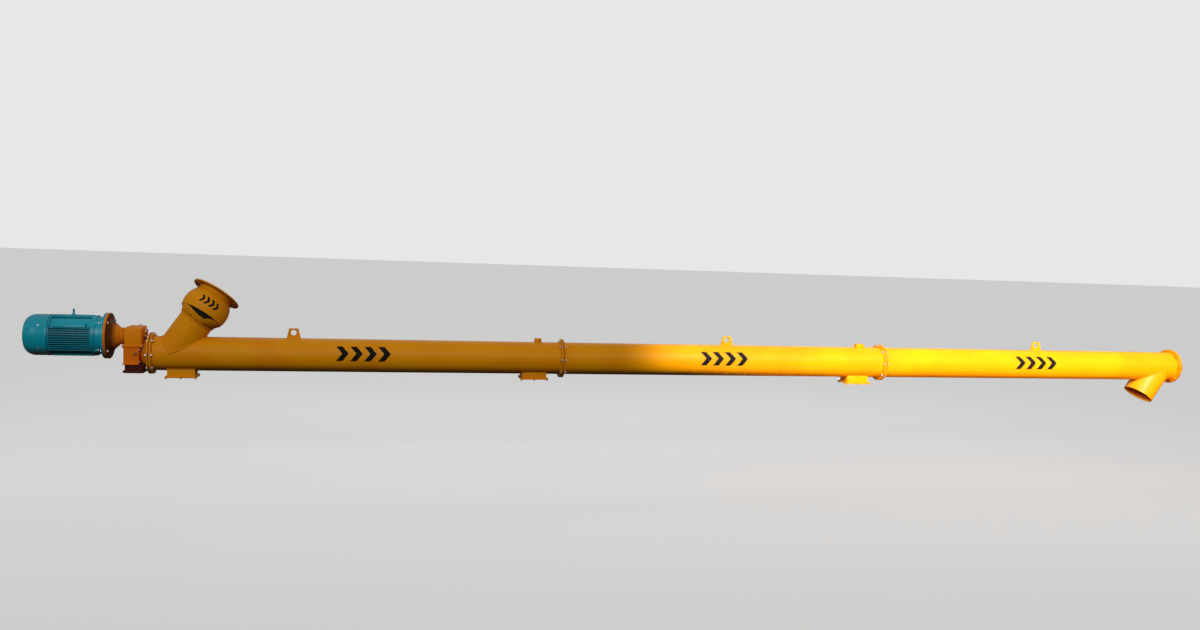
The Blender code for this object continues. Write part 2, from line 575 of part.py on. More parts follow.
def make_gearbox_housings():
    """The upper and lower housings, which meet in two lips, and the base with its foot."""
    w = GEARBOX_HALF_W
    lip_low = (UPPER_X0 - LIP_END, -w - LIP_OUT)
    lip_high = (UPPER_X1 + LIP_OUT, w + LIP_OUT)
    upper = block("gearbox_upper_housing", (UPPER_X0, -w, SPLIT_Z + GAP), (UPPER_X1, w, UPPER_TOP), ORANGE,
                  bevel=UPPER_BEVEL)
    combine(upper, [block("lip", (*lip_low, SPLIT_Z + GAP), (*lip_high, SPLIT_Z + LIP_T), ORANGE)], "UNION")
    lower = block("gearbox_lower_housing", (LOWER_X0, -w, LOWER_BOTTOM), (LOWER_X1, w, SPLIT_Z), ORANGE,
                  bevel=LOWER_BEVEL)
    lip = block("lip", (*lip_low, SPLIT_Z - LIP_T), (*lip_high, SPLIT_Z), ORANGE)
    sole = block("sole", (LOWER_X0 - SOLE_OUT, -w - SOLE_OUT, LOWER_BOTTOM),
                 (LOWER_X1, w + SOLE_OUT, LOWER_BOTTOM + SOLE_T), ORANGE)
    combine(lower, [lip, sole], "UNION")
    base = block("gearbox_base", (BASE_X0, -BASE_HALF_W, BASE_BOTTOM),
                 (BASE_X1, BASE_HALF_W, LOWER_BOTTOM - GAP), BROWN)
    far_end = BASE_X1 - FOOT_ROUND
    foot = block("foot", (FOOT_X0 + FOOT_ROUND, -FOOT_HALF_W, BASE_BOTTOM),
                 (BASE_X1, FOOT_HALF_W, BASE_BOTTOM + FOOT_T), BROWN)
    toe = block("toe", (FOOT_X0, FOOT_ROUND - FOOT_HALF_W, BASE_BOTTOM),
                (far_end, FOOT_HALF_W - FOOT_ROUND, BASE_BOTTOM + FOOT_T), BROWN)
    corners = [rod("corner", FOOT_ROUND, BASE_BOTTOM, BASE_BOTTOM + FOOT_T, BROWN,
                   place=(FOOT_X0 + FOOT_ROUND, side * (FOOT_HALF_W - FOOT_ROUND), 0)) for side in (-1, 1)]
    combine(base, [foot, toe] + corners, "UNION")


def make_output_cover():
    """The round cover between the gearbox and the drive flange, cut clear of the housings."""
    start, end, bore = LOWER_X1 + GAP, -FLANGE_T - GAP, STUB_R + GAP
    profile = [(bore, end), (COVER_RIM_R, end), (COVER_R, end - COVER_RIM_T),
               (COVER_SHOULDER_R, start + COVER_SHOULDER_X), (COVER_NECK_R, start), (bore, start)]
    output = turned("output_cover", profile, BROWN)
    far = 2 * COVER_RIM_R
    over = cutter_block((BASE_X0, -far, SPLIT_Z - LIP_T - GAP), (UPPER_X1 + LIP_OUT + GAP, far, far))
    under = cutter_block((BASE_X0, -far, -far), (BASE_X1 + GAP, far, LOWER_BOTTOM))
    combine(output, [over, under], "DIFFERENCE")
    turned("drive_flange", pipe_profile(FLANGE_R, bore, -FLANGE_T, -GAP / 2), ORANGE)


def make_gearbox_fittings():
    """The breather on top and the oil level plug on the front."""
    seat = UPPER_TOP + GAP
    cap_low, cap_high, top = seat + BREATHER_H * 0.3, seat + BREATHER_H * 0.4, seat + BREATHER_H
    breather = [(0, top), (BREATHER_R - PLUG_BEVEL, top), (BREATHER_R, cap_high), (BREATHER_STEM_R, cap_low),
                (BREATHER_STEM_R, seat), (0, seat)]
    turned("gearbox_breather", breather, ZINC, place=(BREATHER_X, 0, 0), turn=(0, 0, 0), ring=False,
           steps=12)
    plug = [(0, PLUG_H), (PLUG_R - PLUG_BEVEL, PLUG_H), (PLUG_R, PLUG_H - PLUG_BEVEL), (PLUG_R, 0), (0, 0)]
    turned("oil_level_plug", plug, BRASS, place=(PLUG_X, -GEARBOX_HALF_W - GAP, PLUG_Z), turn=TURN_TO_FRONT,
           ring=False, steps=12)


make_casing()
make_inlet_pipe()
make_ball_cap()
make_outlet()
make_hatches()
make_hangers()
make_lugs()
make_screw()
make_motor()
make_bell()
make_gearbox_housings()
make_output_cover()
make_gearbox_fittings()
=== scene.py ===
"""Finishes a tubular screw conveyor: shells, flights, bolts, welds, marks, paint and a studio.

Sizes are in metres. Stations count along the tube's axis from the drive flange's face and heights
from that axis, and local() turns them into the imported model's frame.
"""

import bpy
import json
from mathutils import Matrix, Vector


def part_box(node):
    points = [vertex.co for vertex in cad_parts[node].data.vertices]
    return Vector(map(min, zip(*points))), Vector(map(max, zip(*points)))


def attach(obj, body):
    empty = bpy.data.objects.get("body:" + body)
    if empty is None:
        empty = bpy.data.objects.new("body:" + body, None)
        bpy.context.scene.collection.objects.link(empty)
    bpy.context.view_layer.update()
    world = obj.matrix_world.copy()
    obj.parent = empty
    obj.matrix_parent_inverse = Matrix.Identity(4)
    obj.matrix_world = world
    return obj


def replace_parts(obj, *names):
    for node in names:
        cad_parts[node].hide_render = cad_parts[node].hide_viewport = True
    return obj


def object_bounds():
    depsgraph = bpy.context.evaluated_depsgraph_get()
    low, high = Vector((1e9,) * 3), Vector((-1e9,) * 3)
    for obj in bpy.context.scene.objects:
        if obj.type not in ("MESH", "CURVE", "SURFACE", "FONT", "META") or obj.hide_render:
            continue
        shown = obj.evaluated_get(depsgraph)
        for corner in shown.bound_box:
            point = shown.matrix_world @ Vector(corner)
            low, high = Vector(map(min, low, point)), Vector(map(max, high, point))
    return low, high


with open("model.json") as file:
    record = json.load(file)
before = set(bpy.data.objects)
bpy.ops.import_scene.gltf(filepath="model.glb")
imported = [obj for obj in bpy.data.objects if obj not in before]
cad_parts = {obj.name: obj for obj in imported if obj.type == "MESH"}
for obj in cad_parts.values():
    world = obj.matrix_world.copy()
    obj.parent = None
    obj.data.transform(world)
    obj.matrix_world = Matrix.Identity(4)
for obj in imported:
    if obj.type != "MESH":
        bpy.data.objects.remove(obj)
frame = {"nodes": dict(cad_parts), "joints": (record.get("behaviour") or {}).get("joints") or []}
CAD_BOX = [list(corner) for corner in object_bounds()]

import json
from functools import partial
from math import asin, cos, pi, radians, sin, sqrt

import bmesh
import bpy
from bpy.props import FloatProperty, FloatVectorProperty, IntProperty, PointerProperty
from mathutils import Matrix, Vector
from mathutils.noise import noise as lattice_noise

bl_info = {
    "name": "Screw Conveyor Finish", "version": (1, 0, 0), "blender": (4, 5, 0),
    "location": "3D View > Sidebar > Conveyor",
    "description": "Bolts, welds, flights, marks, paint and a studio for a tubular screw conveyor",
    "category": "Object",}

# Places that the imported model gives
TUBE_LOW, TUBE_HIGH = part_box("casing_tube_2")
AXIS_Y, AXIS_Z = (TUBE_LOW.y + TUBE_HIGH.y) / 2, (TUBE_LOW.z + TUBE_HIGH.z) / 2
TUBE_R = (TUBE_HIGH.z - TUBE_LOW.z) / 2
DRIVE_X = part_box("casing_tube_1")[0].x
JOINTS = (TUBE_LOW.x - DRIVE_X, TUBE_HIGH.x - DRIVE_X)
TUBE_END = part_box("casing_tube_3")[1].x - DRIVE_X
FLANGE_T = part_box("tube_2_inlet_side_flange")[1].x - DRIVE_X - JOINTS[0]
BALL = Vector(frame["joints"][0]["pos_m"])
SWIVEL = Vector(frame["joints"][0]["axis"])
PIPE_AXIS = Vector((-SWIVEL.z, 0, SWIVEL.x)).normalized()

# Inlet pipe, cup and cap
PIPE_STATION, PIPE_R = 0.149, 0.1345
CUP_R, CAP_R = 0.1737, 0.182
CAP_LEAN, CAP_TIP = radians(31.7), radians(-21)
CAP_TURN = Matrix.Rotation(CAP_LEAN, 3, "Y") @ Matrix.Rotation(CAP_TIP, 3, "X")
CAP_AXIS = CAP_TURN @ Vector((0, 0, 1))
NECK_R, NECK_TOP = 0.1365, 0.143

# Outlet spout, lugs, grease blocks and hatches
SPOUT_STATION, SPOUT_LEAN = 9.325, radians(33)
SPOUT_AXIS = Vector((sin(SPOUT_LEAN), 0, cos(SPOUT_LEAN)))
LUG_STATIONS, LUG_HALF_L, LUG_HALF_T = (1.077, 4.806, 7.950), 0.053, 0.006
BLOCK_SIZES = ((3.095, 0.0275), (6.100, 0.0385))
BLOCK_HALF_W = 0.0275
HATCHES = ((0.227, 0.188), (3.0625, 0.177), (6.0675, 0.193))
HATCH_HALF_L, HATCH_HALF_W, HATCH_COVER_T = 0.104, 0.070, 0.004

# Motor and gearbox: the motor's height, cowl, fan and bolt circles, and the upper shaft's height
MOTOR_UP = 0.133
COWL_R, COWL_START, COWL_FACE, COWL_WALL = 0.160, -0.728, -0.919, 0.003
COWL_MOUTH_R = 0.098
GRILLE_FACE, GRILLE_SLOPE, FAN_AT = -0.9180, 0.09, -0.880
LUG_CIRCLE, FLANGE_CIRCLE = 0.1455, 0.155
UPPER_SHAFT_UP, GEARBOX_SPLIT = 0.158, 0.063

# Flow marks: the middle of each row, the marks in a row, and each mark's point and bar
MARK_STATIONS, MARKS_IN_ROW, MARK_RISE = (1.637, 4.748, 7.875), 4, radians(13)
TUBE_MARK, BALL_MARK = (0.050, 0.052), (0.020, 0.021)
BALL_MARK_HEIGHT, BALL_MARK_SPACING = 0.066, 0.044

X_FROM_Z, MINUS_X_FROM_Z = (Matrix.Rotation(side * pi / 2, 4, "Y") for side in (1, -1))
FRONT_FROM_Z = Matrix.Rotation(pi / 2, 4, "X")
X_AXIS, Z_AXIS = Vector((1, 0, 0)), Vector((0, 0, 1))
WHITE = "#FFFFFF"

# Kinds of node, and settings, that are used often
MATH, NOISE, RANGE = "ShaderNodeMath", "ShaderNodeTexNoise", "ShaderNodeMapRange"
MIX, BUMP = "ShaderNodeMix", "ShaderNodeBump"
SPLIT, GATHER = "ShaderNodeSeparateXYZ", "ShaderNodeCombineXYZ"
MOVE, SWEEP = "Transform", "CurveToMesh"
SMOOTH = {"interpolation_type": "SMOOTHSTEP"}

# The slot of each finish, and each finish's material
SLOTS = {finish: slot for slot, finishes in {
    "yellow_enamel": ("yellow", "flange", "hammered", "spout"),
    "orange_gearbox_enamel": ("orange", "lower"),
    "brown_cast_iron": ("brown", "base"),
    "teal_motor_enamel": ("teal", "fins"),
    "zinc_plated_steel": ("zinc", "rusted"),
    "worn_steel": ("steel",),
    "brass": ("brass",),
    "black_rubber": ("rubber", "nylon", "marks", "shade"),
}.items() for finish in finishes}
FINISHES = {}

# What a bolt's inputs are called, and the sizes of each kind of bolt
BOLT_INPUTS = ("Head Radius", "Head Height", "Washer Radius", "Washer Height", "Shank Radius",
               "Tail")
BOLTS = {kind: dict(zip(BOLT_INPUTS, sizes)) for kind, sizes in {
    "flange": (0.0110, 0.0075, 0.0125, 0.002, 0.006, 0.005),
    "lug": (0.0085, 0.0055, 0.0095, 0.0014, 0.006, 0.0),
    "bearing": (0.0078, 0.0055, 0.0086, 0.0014, 0.006, 0.0),
    "gearbox": (0.0066, 0.0050, 0.0074, 0.0012, 0.0036, 0.002),
    "hatch": (0.0070, 0.005, 0.0080, 0.0014, 0.004, 0.003),
}.items()}
BOLT_DEFAULTS = {"Grip": 0.030, **BOLTS["flange"], "Seed": 3}


def linear(hex_colour):
    """An sRGB hex colour as a linear one, with a full alpha."""
    parts = [int(hex_colour[at:at + 2], 16) / 255 for at in (1, 3, 5)]
    return (*(p / 12.92 if p <= 0.04045 else ((p + 0.055) / 1.055) ** 2.4 for p in parts), 1.0)


def local(station, side, up):
    """The point at a station, so far behind the axis and so high above it."""
    return Vector((DRIVE_X + station, AXIS_Y + side, AXIS_Z + up))


def placed(station, side=0.0, up=0.0, turn=X_FROM_Z):
    """The place of something that is made about Z."""
    return Matrix.Translation(local(station, side, up)) @ turn


ON_MOTOR = placed(0, 0, MOTOR_UP)


def a_colour(name, description, hex_colour):
    """A colour that the user can change."""
    return FloatVectorProperty(
        name=name, description=description, default=linear(hex_colour), subtype="COLOR", size=4,
        min=0, max=1)


def a_length(name, description, default):
    """A length that the user can change."""
    return FloatProperty(
        name=name, description=description, default=default, min=0, precision=4, unit="LENGTH")


def a_strength(name, description, default):
    """The strength of a light that the user can change."""
    return FloatProperty(name=name, description=description, default=default, min=0)


class ConveyorFittings(bpy.types.PropertyGroup):
    """Sizes of the bolts, welds, flights and marks."""
    flange_bolts: IntProperty(
        name="Bolts per Flange", description="Bolts round each casing flange", default=8, min=3)
    bolt_circle: a_length("Bolt Circle", "Radius of the flanges' bolt circle", 0.150)
    head_radius: a_length("Head Radius", "Half a bolt head's width across corners", 0.0110)
    head_height: a_length("Head Height", "Height of a bolt head", 0.0075)
    weld_radius: a_length("Weld Radius", "Radius of a fillet weld's bead", 0.0045)
    ripple_length: a_length("Ripple Length", "Distance between a weld's ripples", 0.007)
    pitch: a_length("Flight Pitch", "Length that the flight gains in a turn", 0.250)
    flight_radius: a_length("Flight Radius", "Outer radius of the screw's flight", 0.122)
    mark_height: a_length("Mark Height", "Height of the flow marks on the tube", 0.124)
    mark_spacing: a_length("Mark Spacing", "Distance between two flow marks", 0.112)


class ConveyorColours(bpy.types.PropertyGroup):
    """Colours of the paints and metals, and of the painted shade."""
    yellow: a_colour("Yellow", "Enamel on the tube and the inlet", "#F09B00")
    yellow_deep: a_colour("Deep Yellow", "Where the yellow enamel is thicker", "#E88B00")
    orange: a_colour("Orange", "Enamel on the gearbox", "#FF9800")
    brown: a_colour("Brown", "Primer on the bell adapter", "#EE8A0C")
    teal: a_colour("Teal", "Enamel on the motor", "#04AAC0")
    rust: a_colour("Rust", "Rust at joints and chips", "#5B2013")
    # Painted shade under what faces down and on the bell adapter's end faces
    painted_shade: a_colour("Painted Shade", "Grime on what faces down", "#3C1405")
    dust: a_colour("Dust", "Dry powder dust", "#C9A868")
    zinc: a_colour("Zinc", "Zinc plate on the fasteners", "#ECEBE8")
    steel: a_colour("Steel", "Bare worn steel of the screw", "#8D8781")
    black: a_colour("Black", "Rubber liner, marks and fan", "#12100E")


class ConveyorStudio(bpy.types.PropertyGroup):
    """Place of the camera, and the floor and the even light."""
    camera_place: FloatVectorProperty(name="Camera Place", description="Where the camera stands",
                                      default=(-3.0406, -8.4533, 0.8969), subtype="TRANSLATION")
    camera_turn: FloatVectorProperty(
        name="Camera Turn", description="The camera's rotation",
        default=[radians(a) for a in (85.631, -2.251, -12.278)], subtype="EULER")
    focal_length: FloatProperty(
        name="Focal Length", description="Focal length in millimetres", default=29.92, min=1)
    floor_gap: a_length("Floor Gap", "Clear height under the outlet spout", 0.60)
    floor_colour: a_colour("Floor", "Colour of the floor", "#C4C4C2")
    floor_glow: a_strength("Floor Glow", "How much the floor glows to the eye", 0.43)
    sky: a_strength("Light from Above", "Even light from above", 0.30)
    ground: a_strength("Light from Below", "Even light from below", 0.05)
    backdrop_light: a_strength("Backdrop Light", "How bright the backdrop looks", 0.80)


def feed(node, inputs):
    """Feed a node's inputs, by name or in order. A source is a value, a hex colour, a socket, or a
    node, which gives its first output."""
    for key, source in inputs.items() if isinstance(inputs, dict) else enumerate(inputs):
        if isinstance(source, bpy.types.Node):
            source = source.outputs[0]
        if isinstance(source, bpy.types.NodeSocket):
            node.id_data.links.new(source, node.inputs[key])
        else:
            node.inputs[key].default_value = linear(source) if isinstance(source, str) else source
    return node


def add_node(tree, kind, inputs=(), operation=None, **settings):
    """Add a node with its settings. A kind without Node in its name is one of geometry."""
    made = tree.nodes.new(kind if "Node" in kind else "GeometryNode" + kind)
    if operation:
        made.operation = operation
    for name, value in settings.items():
        setattr(made, name, value)
    return feed(made, inputs)


def start_finish(name):
    """A new material, what adds nodes to it, its shader and its texture coordinates."""
    material = bpy.data.materials.new(name)
    material.use_nodes = True
    add = partial(add_node, material.node_tree)
    shader = material.node_tree.nodes["Principled BSDF"]
    return material, add, shader, add("ShaderNodeTexCoord").outputs


def sprayed_enamel(
    name, colour, deep, roughness=0.42, gloss=0.12, dust_top=0.10, chips=0.35, painted_shade=0.78,
    dents=0.0, chip_level=0.70, end_face_shade=None, joints=(), axis=None):
    """Alkyd enamel sprayed on steel: a semi-gloss skin, a little uneven in tone, with a faint
    orange peel, dust on what faces up, painted shade underneath, and small chips down to rust."""
    colours = bpy.context.scene.conveyor_colours
    material, add, shader, where = start_finish(name)
    spot = where["Object"]
    facing = add(SPLIT, [where["Normal"]]).outputs
    along = add(SPLIT, [spot]).outputs["X"]
    # Tone drifts over about 0.4 m, where the spray passes overlapped.
    passes = add(NOISE, {"Vector": spot, "Scale": 2.4, "Detail": 3.0})
    # Mottle of about 25 mm, coarser than real dirt specks so that it shows from 8 m away.
    mottle = add(NOISE, {"Vector": spot, "Scale": 38.0, "Detail": 7.0, "Roughness": 0.62})
    # The painted shade underneath is full under the drive end and thins out to nothing towards the
    # outlet, broken up by the mottle.
    shade_fade = add(MATH, [along, -0.25, mottle], "MULTIPLY_ADD")

    # What each coat follows, where on it the coat starts and is full, how much it covers, its
    # colour, and what breaks it up, between which of its values
    coats = [(passes, 0.38, 0.62, 0.6, deep, None),
             # Painted shade on what faces down, darkest straight underneath
             (facing["Z"], -0.45, -0.95, painted_shade, colours.painted_shade, (shade_fade, 0.20, 0.60)),
             (facing["Z"], 0.55, 0.98, dust_top, colours.dust, (mottle, 0.38, 0.66)),
             (mottle, chip_level, chip_level + 0.035, chips, colours.rust, None)]
    if end_face_shade:
        # Painted shade on the faces that look along the conveyor, fading out down the cone.
        start, full, amount = end_face_shade
        coats.append((along, DRIVE_X + start, DRIVE_X + full, amount, colours.painted_shade,
                      (facing["X"], 0.1, 0.4)))
    if joints:
        nearest = 100.0
        for station in joints:
            away = add(MATH, [along, DRIVE_X + station], "SUBTRACT")
            away = add(MATH, [away], "ABSOLUTE")
            nearest = add(MATH, [away, nearest], "MINIMUM")
        # Rust creeps 1 to 3 mm out of the joint between two flanges.
        creep = add(MATH, [mottle, -0.005, nearest], "MULTIPLY_ADD")
        coats.append((creep, 0.0015, 0.0, 1.0, colours.rust, None))
    if axis:
        # A coat that depends on the distance from an axis: painted shade deep in a bore or between
        # fins.
        middle, turn, start, full, amount, tint, limit, low, high = axis
        centred = add("ShaderNodeMapping", {"Vector": spot, "Location": middle, "Rotation": turn},
                      vector_type="TEXTURE")
        flat = add("ShaderNodeVectorMath", [centred, (1, 1, 0)], "MULTIPLY")
        off = add("ShaderNodeVectorMath", [flat], "LENGTH").outputs["Value"]
        limits = {"steep": facing["Z"], "deep": add(SPLIT, [centred]).outputs["Z"]}
        coats.append((off, start, full, amount, tint, (limits[limit], low, high)))
    skin = colour
    for follows, start, full, amount, tint, breaks in coats:
        cover = add(RANGE, {0: follows, 1: start, 2: full, 4: amount}, **SMOOTH)
        if breaks:
            patchy = add(RANGE, breaks, **SMOOTH)
            cover = add(MATH, [cover, patchy], "MULTIPLY")
        skin = add(MIX, {0: cover, 6: skin, 7: tint}, data_type="RGBA").outputs[2]

    dull = add(MATH, [mottle, 0.30, roughness - 0.13], "MULTIPLY_ADD")
    # Orange peel of about 6 mm, twice its real size so that it shows.
    peel = add(NOISE, {"Vector": spot, "Scale": 160.0, "Detail": 2.0})
    relief = add(BUMP, {"Strength": 0.10, "Distance": 0.0006, "Height": peel})
    relief = add(BUMP, {"Strength": 0.20, "Distance": 0.0010, "Height": mottle, "Normal": relief})
    if dents:
        # Hammer dents of about 15 mm.
        beaten = add("ShaderNodeTexVoronoi", {"Vector": spot, "Scale": 60.0}, feature="SMOOTH_F1")
        relief = add(
            BUMP, {"Strength": dents, "Distance": 0.004, "Height": beaten, "Normal": relief})
    feed(shader, {
        "Base Color": skin, "Specular IOR Level": gloss, "Roughness": dull, "Normal": relief})
    return material


def tarnished(name, colour, tarnish, roughness, grain, metallic=1.0, gloss=0.5):
    """Metal, rubber or flat paint whose tone and roughness vary in patches."""
    material, add, shader, where = start_finish(name)
    patches = add(
        NOISE, {"Vector": where["Object"], "Scale": grain, "Detail": 5.0, "Roughness": 0.6})
    cover = add(RANGE, [patches, 0.38, 0.68], **SMOOTH)
    tone = add(MIX, {0: cover, 6: colour, 7: tarnish}, data_type="RGBA")
    dull = add(MATH, [patches, 0.4, roughness - 0.2], "MULTIPLY_ADD")
    relief = add(BUMP, {"Strength": 0.2, "Distance": 0.0006, "Height": patches})
    feed(shader, {
        "Base Color": tone.outputs[2], "Metallic": metallic, "Roughness": dull,
        "Specular IOR Level": gloss, "Normal": relief})
    return material


def make_finishes():
    """Every material, by the name of its finish."""
    c = bpy.context.scene.conveyor_colours
    yellow, teal = (c.yellow, c.yellow_deep), (c.teal, "#029AB0", 0.28, 0.40, 0.06, 0.15, 0.92)
    # The yellow goes 8 to 18 mm into the spout, and past that the bore is painted dark orange-brown
    # for shade.
    # Between the motor's fins the enamel is painted dark teal for shade.
    foot = local(SPOUT_STATION, 0, 0)
    mouth = min((v.co - foot).dot(SPOUT_AXIS) for v in frame["nodes"]["outlet_spout"].data.vertices)
    bore = (foot, (0, SPOUT_LEAN, 0), TUBE_R - 0.003, TUBE_R - 0.005, 1.0, "#A8440C",
            "deep", mouth + 0.008, mouth + 0.018)
    fin_gap_shade = (local(0, 0, MOTOR_UP), (0, pi / 2, 0), 0.162, 0.148, 0.85, "#03262C",
            "steep", 0.60, 0.45)
    FINISHES.update({
        "yellow": sprayed_enamel("yellow machinery enamel", *yellow),
        "flange": sprayed_enamel("yellow flange enamel", *yellow, joints=(0, *JOINTS, TUBE_END)),
        "hammered": sprayed_enamel("yellow enamel on a beaten edge", c.yellow, "#C97A08", 0.45,
                                   chips=0.8, dents=0.9, chip_level=0.60),
        "spout": sprayed_enamel("yellow enamel with painted shade in its bore", *yellow, 0.34, 0.3, axis=bore),
        "orange": sprayed_enamel("orange gearbox enamel", c.orange, "#F08A00", chips=0.6),
        "lower": sprayed_enamel("redder gearbox enamel", "#FA7C00", "#E46C00", chips=0.6),
        "brown": sprayed_enamel("brown primed cast iron", c.brown, "#B8600E", 0.55, chips=0.8,
                                end_face_shade=(-0.240, -0.285, 0.88)),
        # The base's primer is painted far darker than the bell's, partly as painted shade low under
        # the gearbox.
        "base": sprayed_enamel("primed base with painted shade", "#4E1C08", "#341206", 0.6, chips=0.8),
        "teal": sprayed_enamel("teal motor enamel", *teal),
        "fins": sprayed_enamel("teal finned motor enamel", *teal, axis=fin_gap_shade),
        "zinc": tarnished("zinc plated steel", c.zinc, "#B9B6B6", 0.34, 90.0, 0.75),
        "rusted": tarnished("rusted zinc plate", "#E4C8BC", c.rust, 0.50, 130.0, 0.4),
        "steel": tarnished("worn screw steel", c.steel, "#4E4540", 0.50, 14.0),
        "brass": tarnished("dull brass", "#C2AC78", "#7D6A40", 0.36, 120.0),
        "rubber": tarnished("black rubber", c.black, "#1E1B19", 0.80, 60.0, 0.0, 0.2),
        "nylon": tarnished("black moulded nylon", c.black, "#24211F", 0.50, 80.0, 0.0),
        "marks": tarnished("black stencil paint", c.black, "#1C1812", 0.60, 50.0, 0.0, 0.1),
        # The ports' dark discs are painted shade, standing for their holes.
        "shade": tarnished("painted shade in a port hole", "#1A0D06", "#2E1508", 0.4, 80.0, 0.0),
    })


def linked(name, data):
    """A new object in the scene."""
    made = bpy.data.objects.new(name, data)
    bpy.context.scene.collection.objects.link(made)
    return made


def show(name, mesh, finish, slot=None, body="conveyor"):
    """Link a mesh, with its finish's material, as a piece that rides on a body. The slot that it
    works out is not used.
    """
    slot = slot or SLOTS[finish]
    mesh.name = name
    mesh.materials.clear()
    mesh.materials.append(FINISHES[finish])
    piece = linked(name, mesh)
    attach(piece, body)
    return piece


def mesh_from(form, soft=False):
    """The mesh of a form, which is used up. A soft one is smooth except over sharp edges."""
    mesh = bpy.data.meshes.new("mesh")
    form.to_mesh(mesh)
    form.free()
    if soft:
        stale = mesh.attributes.get("custom_normal")
        if stale:
            mesh.attributes.remove(stale)
        mesh.shade_smooth()
        mesh.set_sharp_from_angle(angle=radians(35))
    return mesh


def refine(node, finish, bevel=0.0, slot=None, body="conveyor"):
    """Put a merged and smooth copy in a node's place, with rounded edges where asked."""
    model = frame["nodes"][node]
    model.material_slots[0].material = FINISHES[finish]
    form = bmesh.new()
    form.from_mesh(model.data)
    bmesh.ops.remove_doubles(form, verts=form.verts, dist=1e-5)
    bmesh.ops.dissolve_limit(form, angle_limit=radians(0.5), verts=form.verts, edges=form.edges)
    if bevel:
        sharp = [edge for edge in form.edges
                 if edge.is_manifold and edge.calc_face_angle_signed(0) > radians(50)]
        bmesh.ops.bevel(form, geom=sharp, offset=bevel, segments=2, affect="EDGES",
                        clamp_overlap=True, profile=0.5)
    mesh = mesh_from(form, soft=True)
    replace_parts(show(node + "_finished", mesh, finish, slot, body), node)


def joined(meshes):
    """One mesh from several, which are used up."""
    form = bmesh.new()
    for mesh in meshes:
        form.from_mesh(mesh)
        bpy.data.meshes.remove(mesh)
    return mesh_from(form)


def start_tree(name, inputs):
    """What adds nodes to a new geometry tree, and what its named inputs give."""
    tree = bpy.data.node_groups.new(name, "GeometryNodeTree")
    sockets = tree.interface
    sockets.new_socket("Geometry", in_out="INPUT", socket_type="NodeSocketGeometry")
    for label, default in inputs.items():
        kind = "NodeSocketInt" if isinstance(default, int) else "NodeSocketFloat"
        sockets.new_socket(label, in_out="INPUT", socket_type=kind).default_value = default
    sockets.new_socket("Finish", in_out="INPUT", socket_type="NodeSocketMaterial")
    sockets.new_socket("Geometry", in_out="OUTPUT", socket_type="NodeSocketGeometry")
    return partial(add_node, tree), tree.nodes.new("NodeGroupInput").outputs


def end_tree(add, given, shape):
    """Realize instances, set the material and hand the geometry out. Gives the tree."""
    plain = add("RealizeInstances", [shape])
    dressed = add("SetMaterial", {"Geometry": plain, "Material": given["Finish"]})
    return add("NodeGroupOutput", [dressed]).id_data


def grown(tree, values, finish, place=Matrix(), base=None):
    """The plain mesh that a tree gives for these values, put in its place."""
    values = {**values, "Finish": FINISHES[finish]}
    holder = linked("holder", base or bpy.data.meshes.new("holder"))
    shaper = holder.modifiers.new("shape", "NODES")
    shaper.node_group = tree
    for socket in tree.interface.items_tree:
        if socket.in_out == "INPUT" and socket.name in values:
            shaper[socket.identifier] = values[socket.name]
    graph = bpy.context.evaluated_depsgraph_get()
    mesh = bpy.data.meshes.new_from_object(holder.evaluated_get(graph), depsgraph=graph)
    bpy.data.objects.remove(holder)
    mesh.transform(place)
    return mesh


def bolts_on(add, size, points):
    """Put a bolt on every point, its head up: hex head, two washers, hex nut and threaded tail.
    Each is turned by chance, as a spanner leaves it."""
    levels = [add(MATH, [size["Grip"], 0.5], "MULTIPLY")]
    for step in ("Washer Height", "Head Height", "Tail"):
        levels.append(add(MATH, [levels[-1], size[step]]))
    below = [add(MATH, [level, -1.0], "MULTIPLY") for level in levels]
    head, washer = size["Head Radius"], size["Washer Radius"]
    slim = add(MATH, [head, 0.86], "MULTIPLY")
    crown = add(MATH, [levels[2], 0.0008])
    parts = ((16, washer, levels[0], levels[1]), (6, head, levels[1], levels[2]),
             (12, slim, levels[2], crown), (10, size["Shank Radius"], below[3], levels[0]),
             (16, washer, below[1], below[0]), (6, head, below[2], below[1]))
    bolt = add("JoinGeometry")
    for sides, radius, low, high in parts:
        depth = add(MATH, [high, low], "SUBTRACT")
        disc = add("MeshCylinder", {"Vertices": sides, "Radius": radius, "Depth": depth})
        both = add(MATH, [high, low])
        middle = add(MATH, [both, 0.5], "MULTIPLY")
        lift = add(GATHER, {2: middle})
        feed(bolt, [add(MOVE, {"Geometry": disc, "Translation": lift})])
    chance = add("FunctionNodeRandomValue", {"Seed": size["Seed"]}, data_type="FLOAT")
    spin = add(GATHER, {2: chance.outputs[1]})
    return add("InstanceOnPoints", {"Points": points, "Instance": bolt, "Rotation": spin})


def bolt_ring_tree():
    """Bolts on a circle about Z."""
    add, size = start_tree("Bolt Ring", {
        "Count": 8, "Circle Radius": 0.150, "Start Angle": 0.0, **BOLT_DEFAULTS})
    circle = add("MeshCircle", {"Vertices": size["Count"], "Radius": size["Circle Radius"]})
    angle = add(GATHER, {2: size["Start Angle"]})
    turned = add(MOVE, {"Geometry": circle, "Rotation": angle})
    return end_tree(add, size, bolts_on(add, size, turned))


def bolt_grid_tree():
    """Bolts in rows in the XY plane."""
    add, size = start_tree("Bolt Grid", {
        "Length": 0.2, "Width": 0.1, "Along": 2, "Across": 2, **BOLT_DEFAULTS})
    grid = add("MeshGrid", [size[name] for name in ("Length", "Width", "Along", "Across")])
    return end_tree(add, size, bolts_on(add, size, grid))


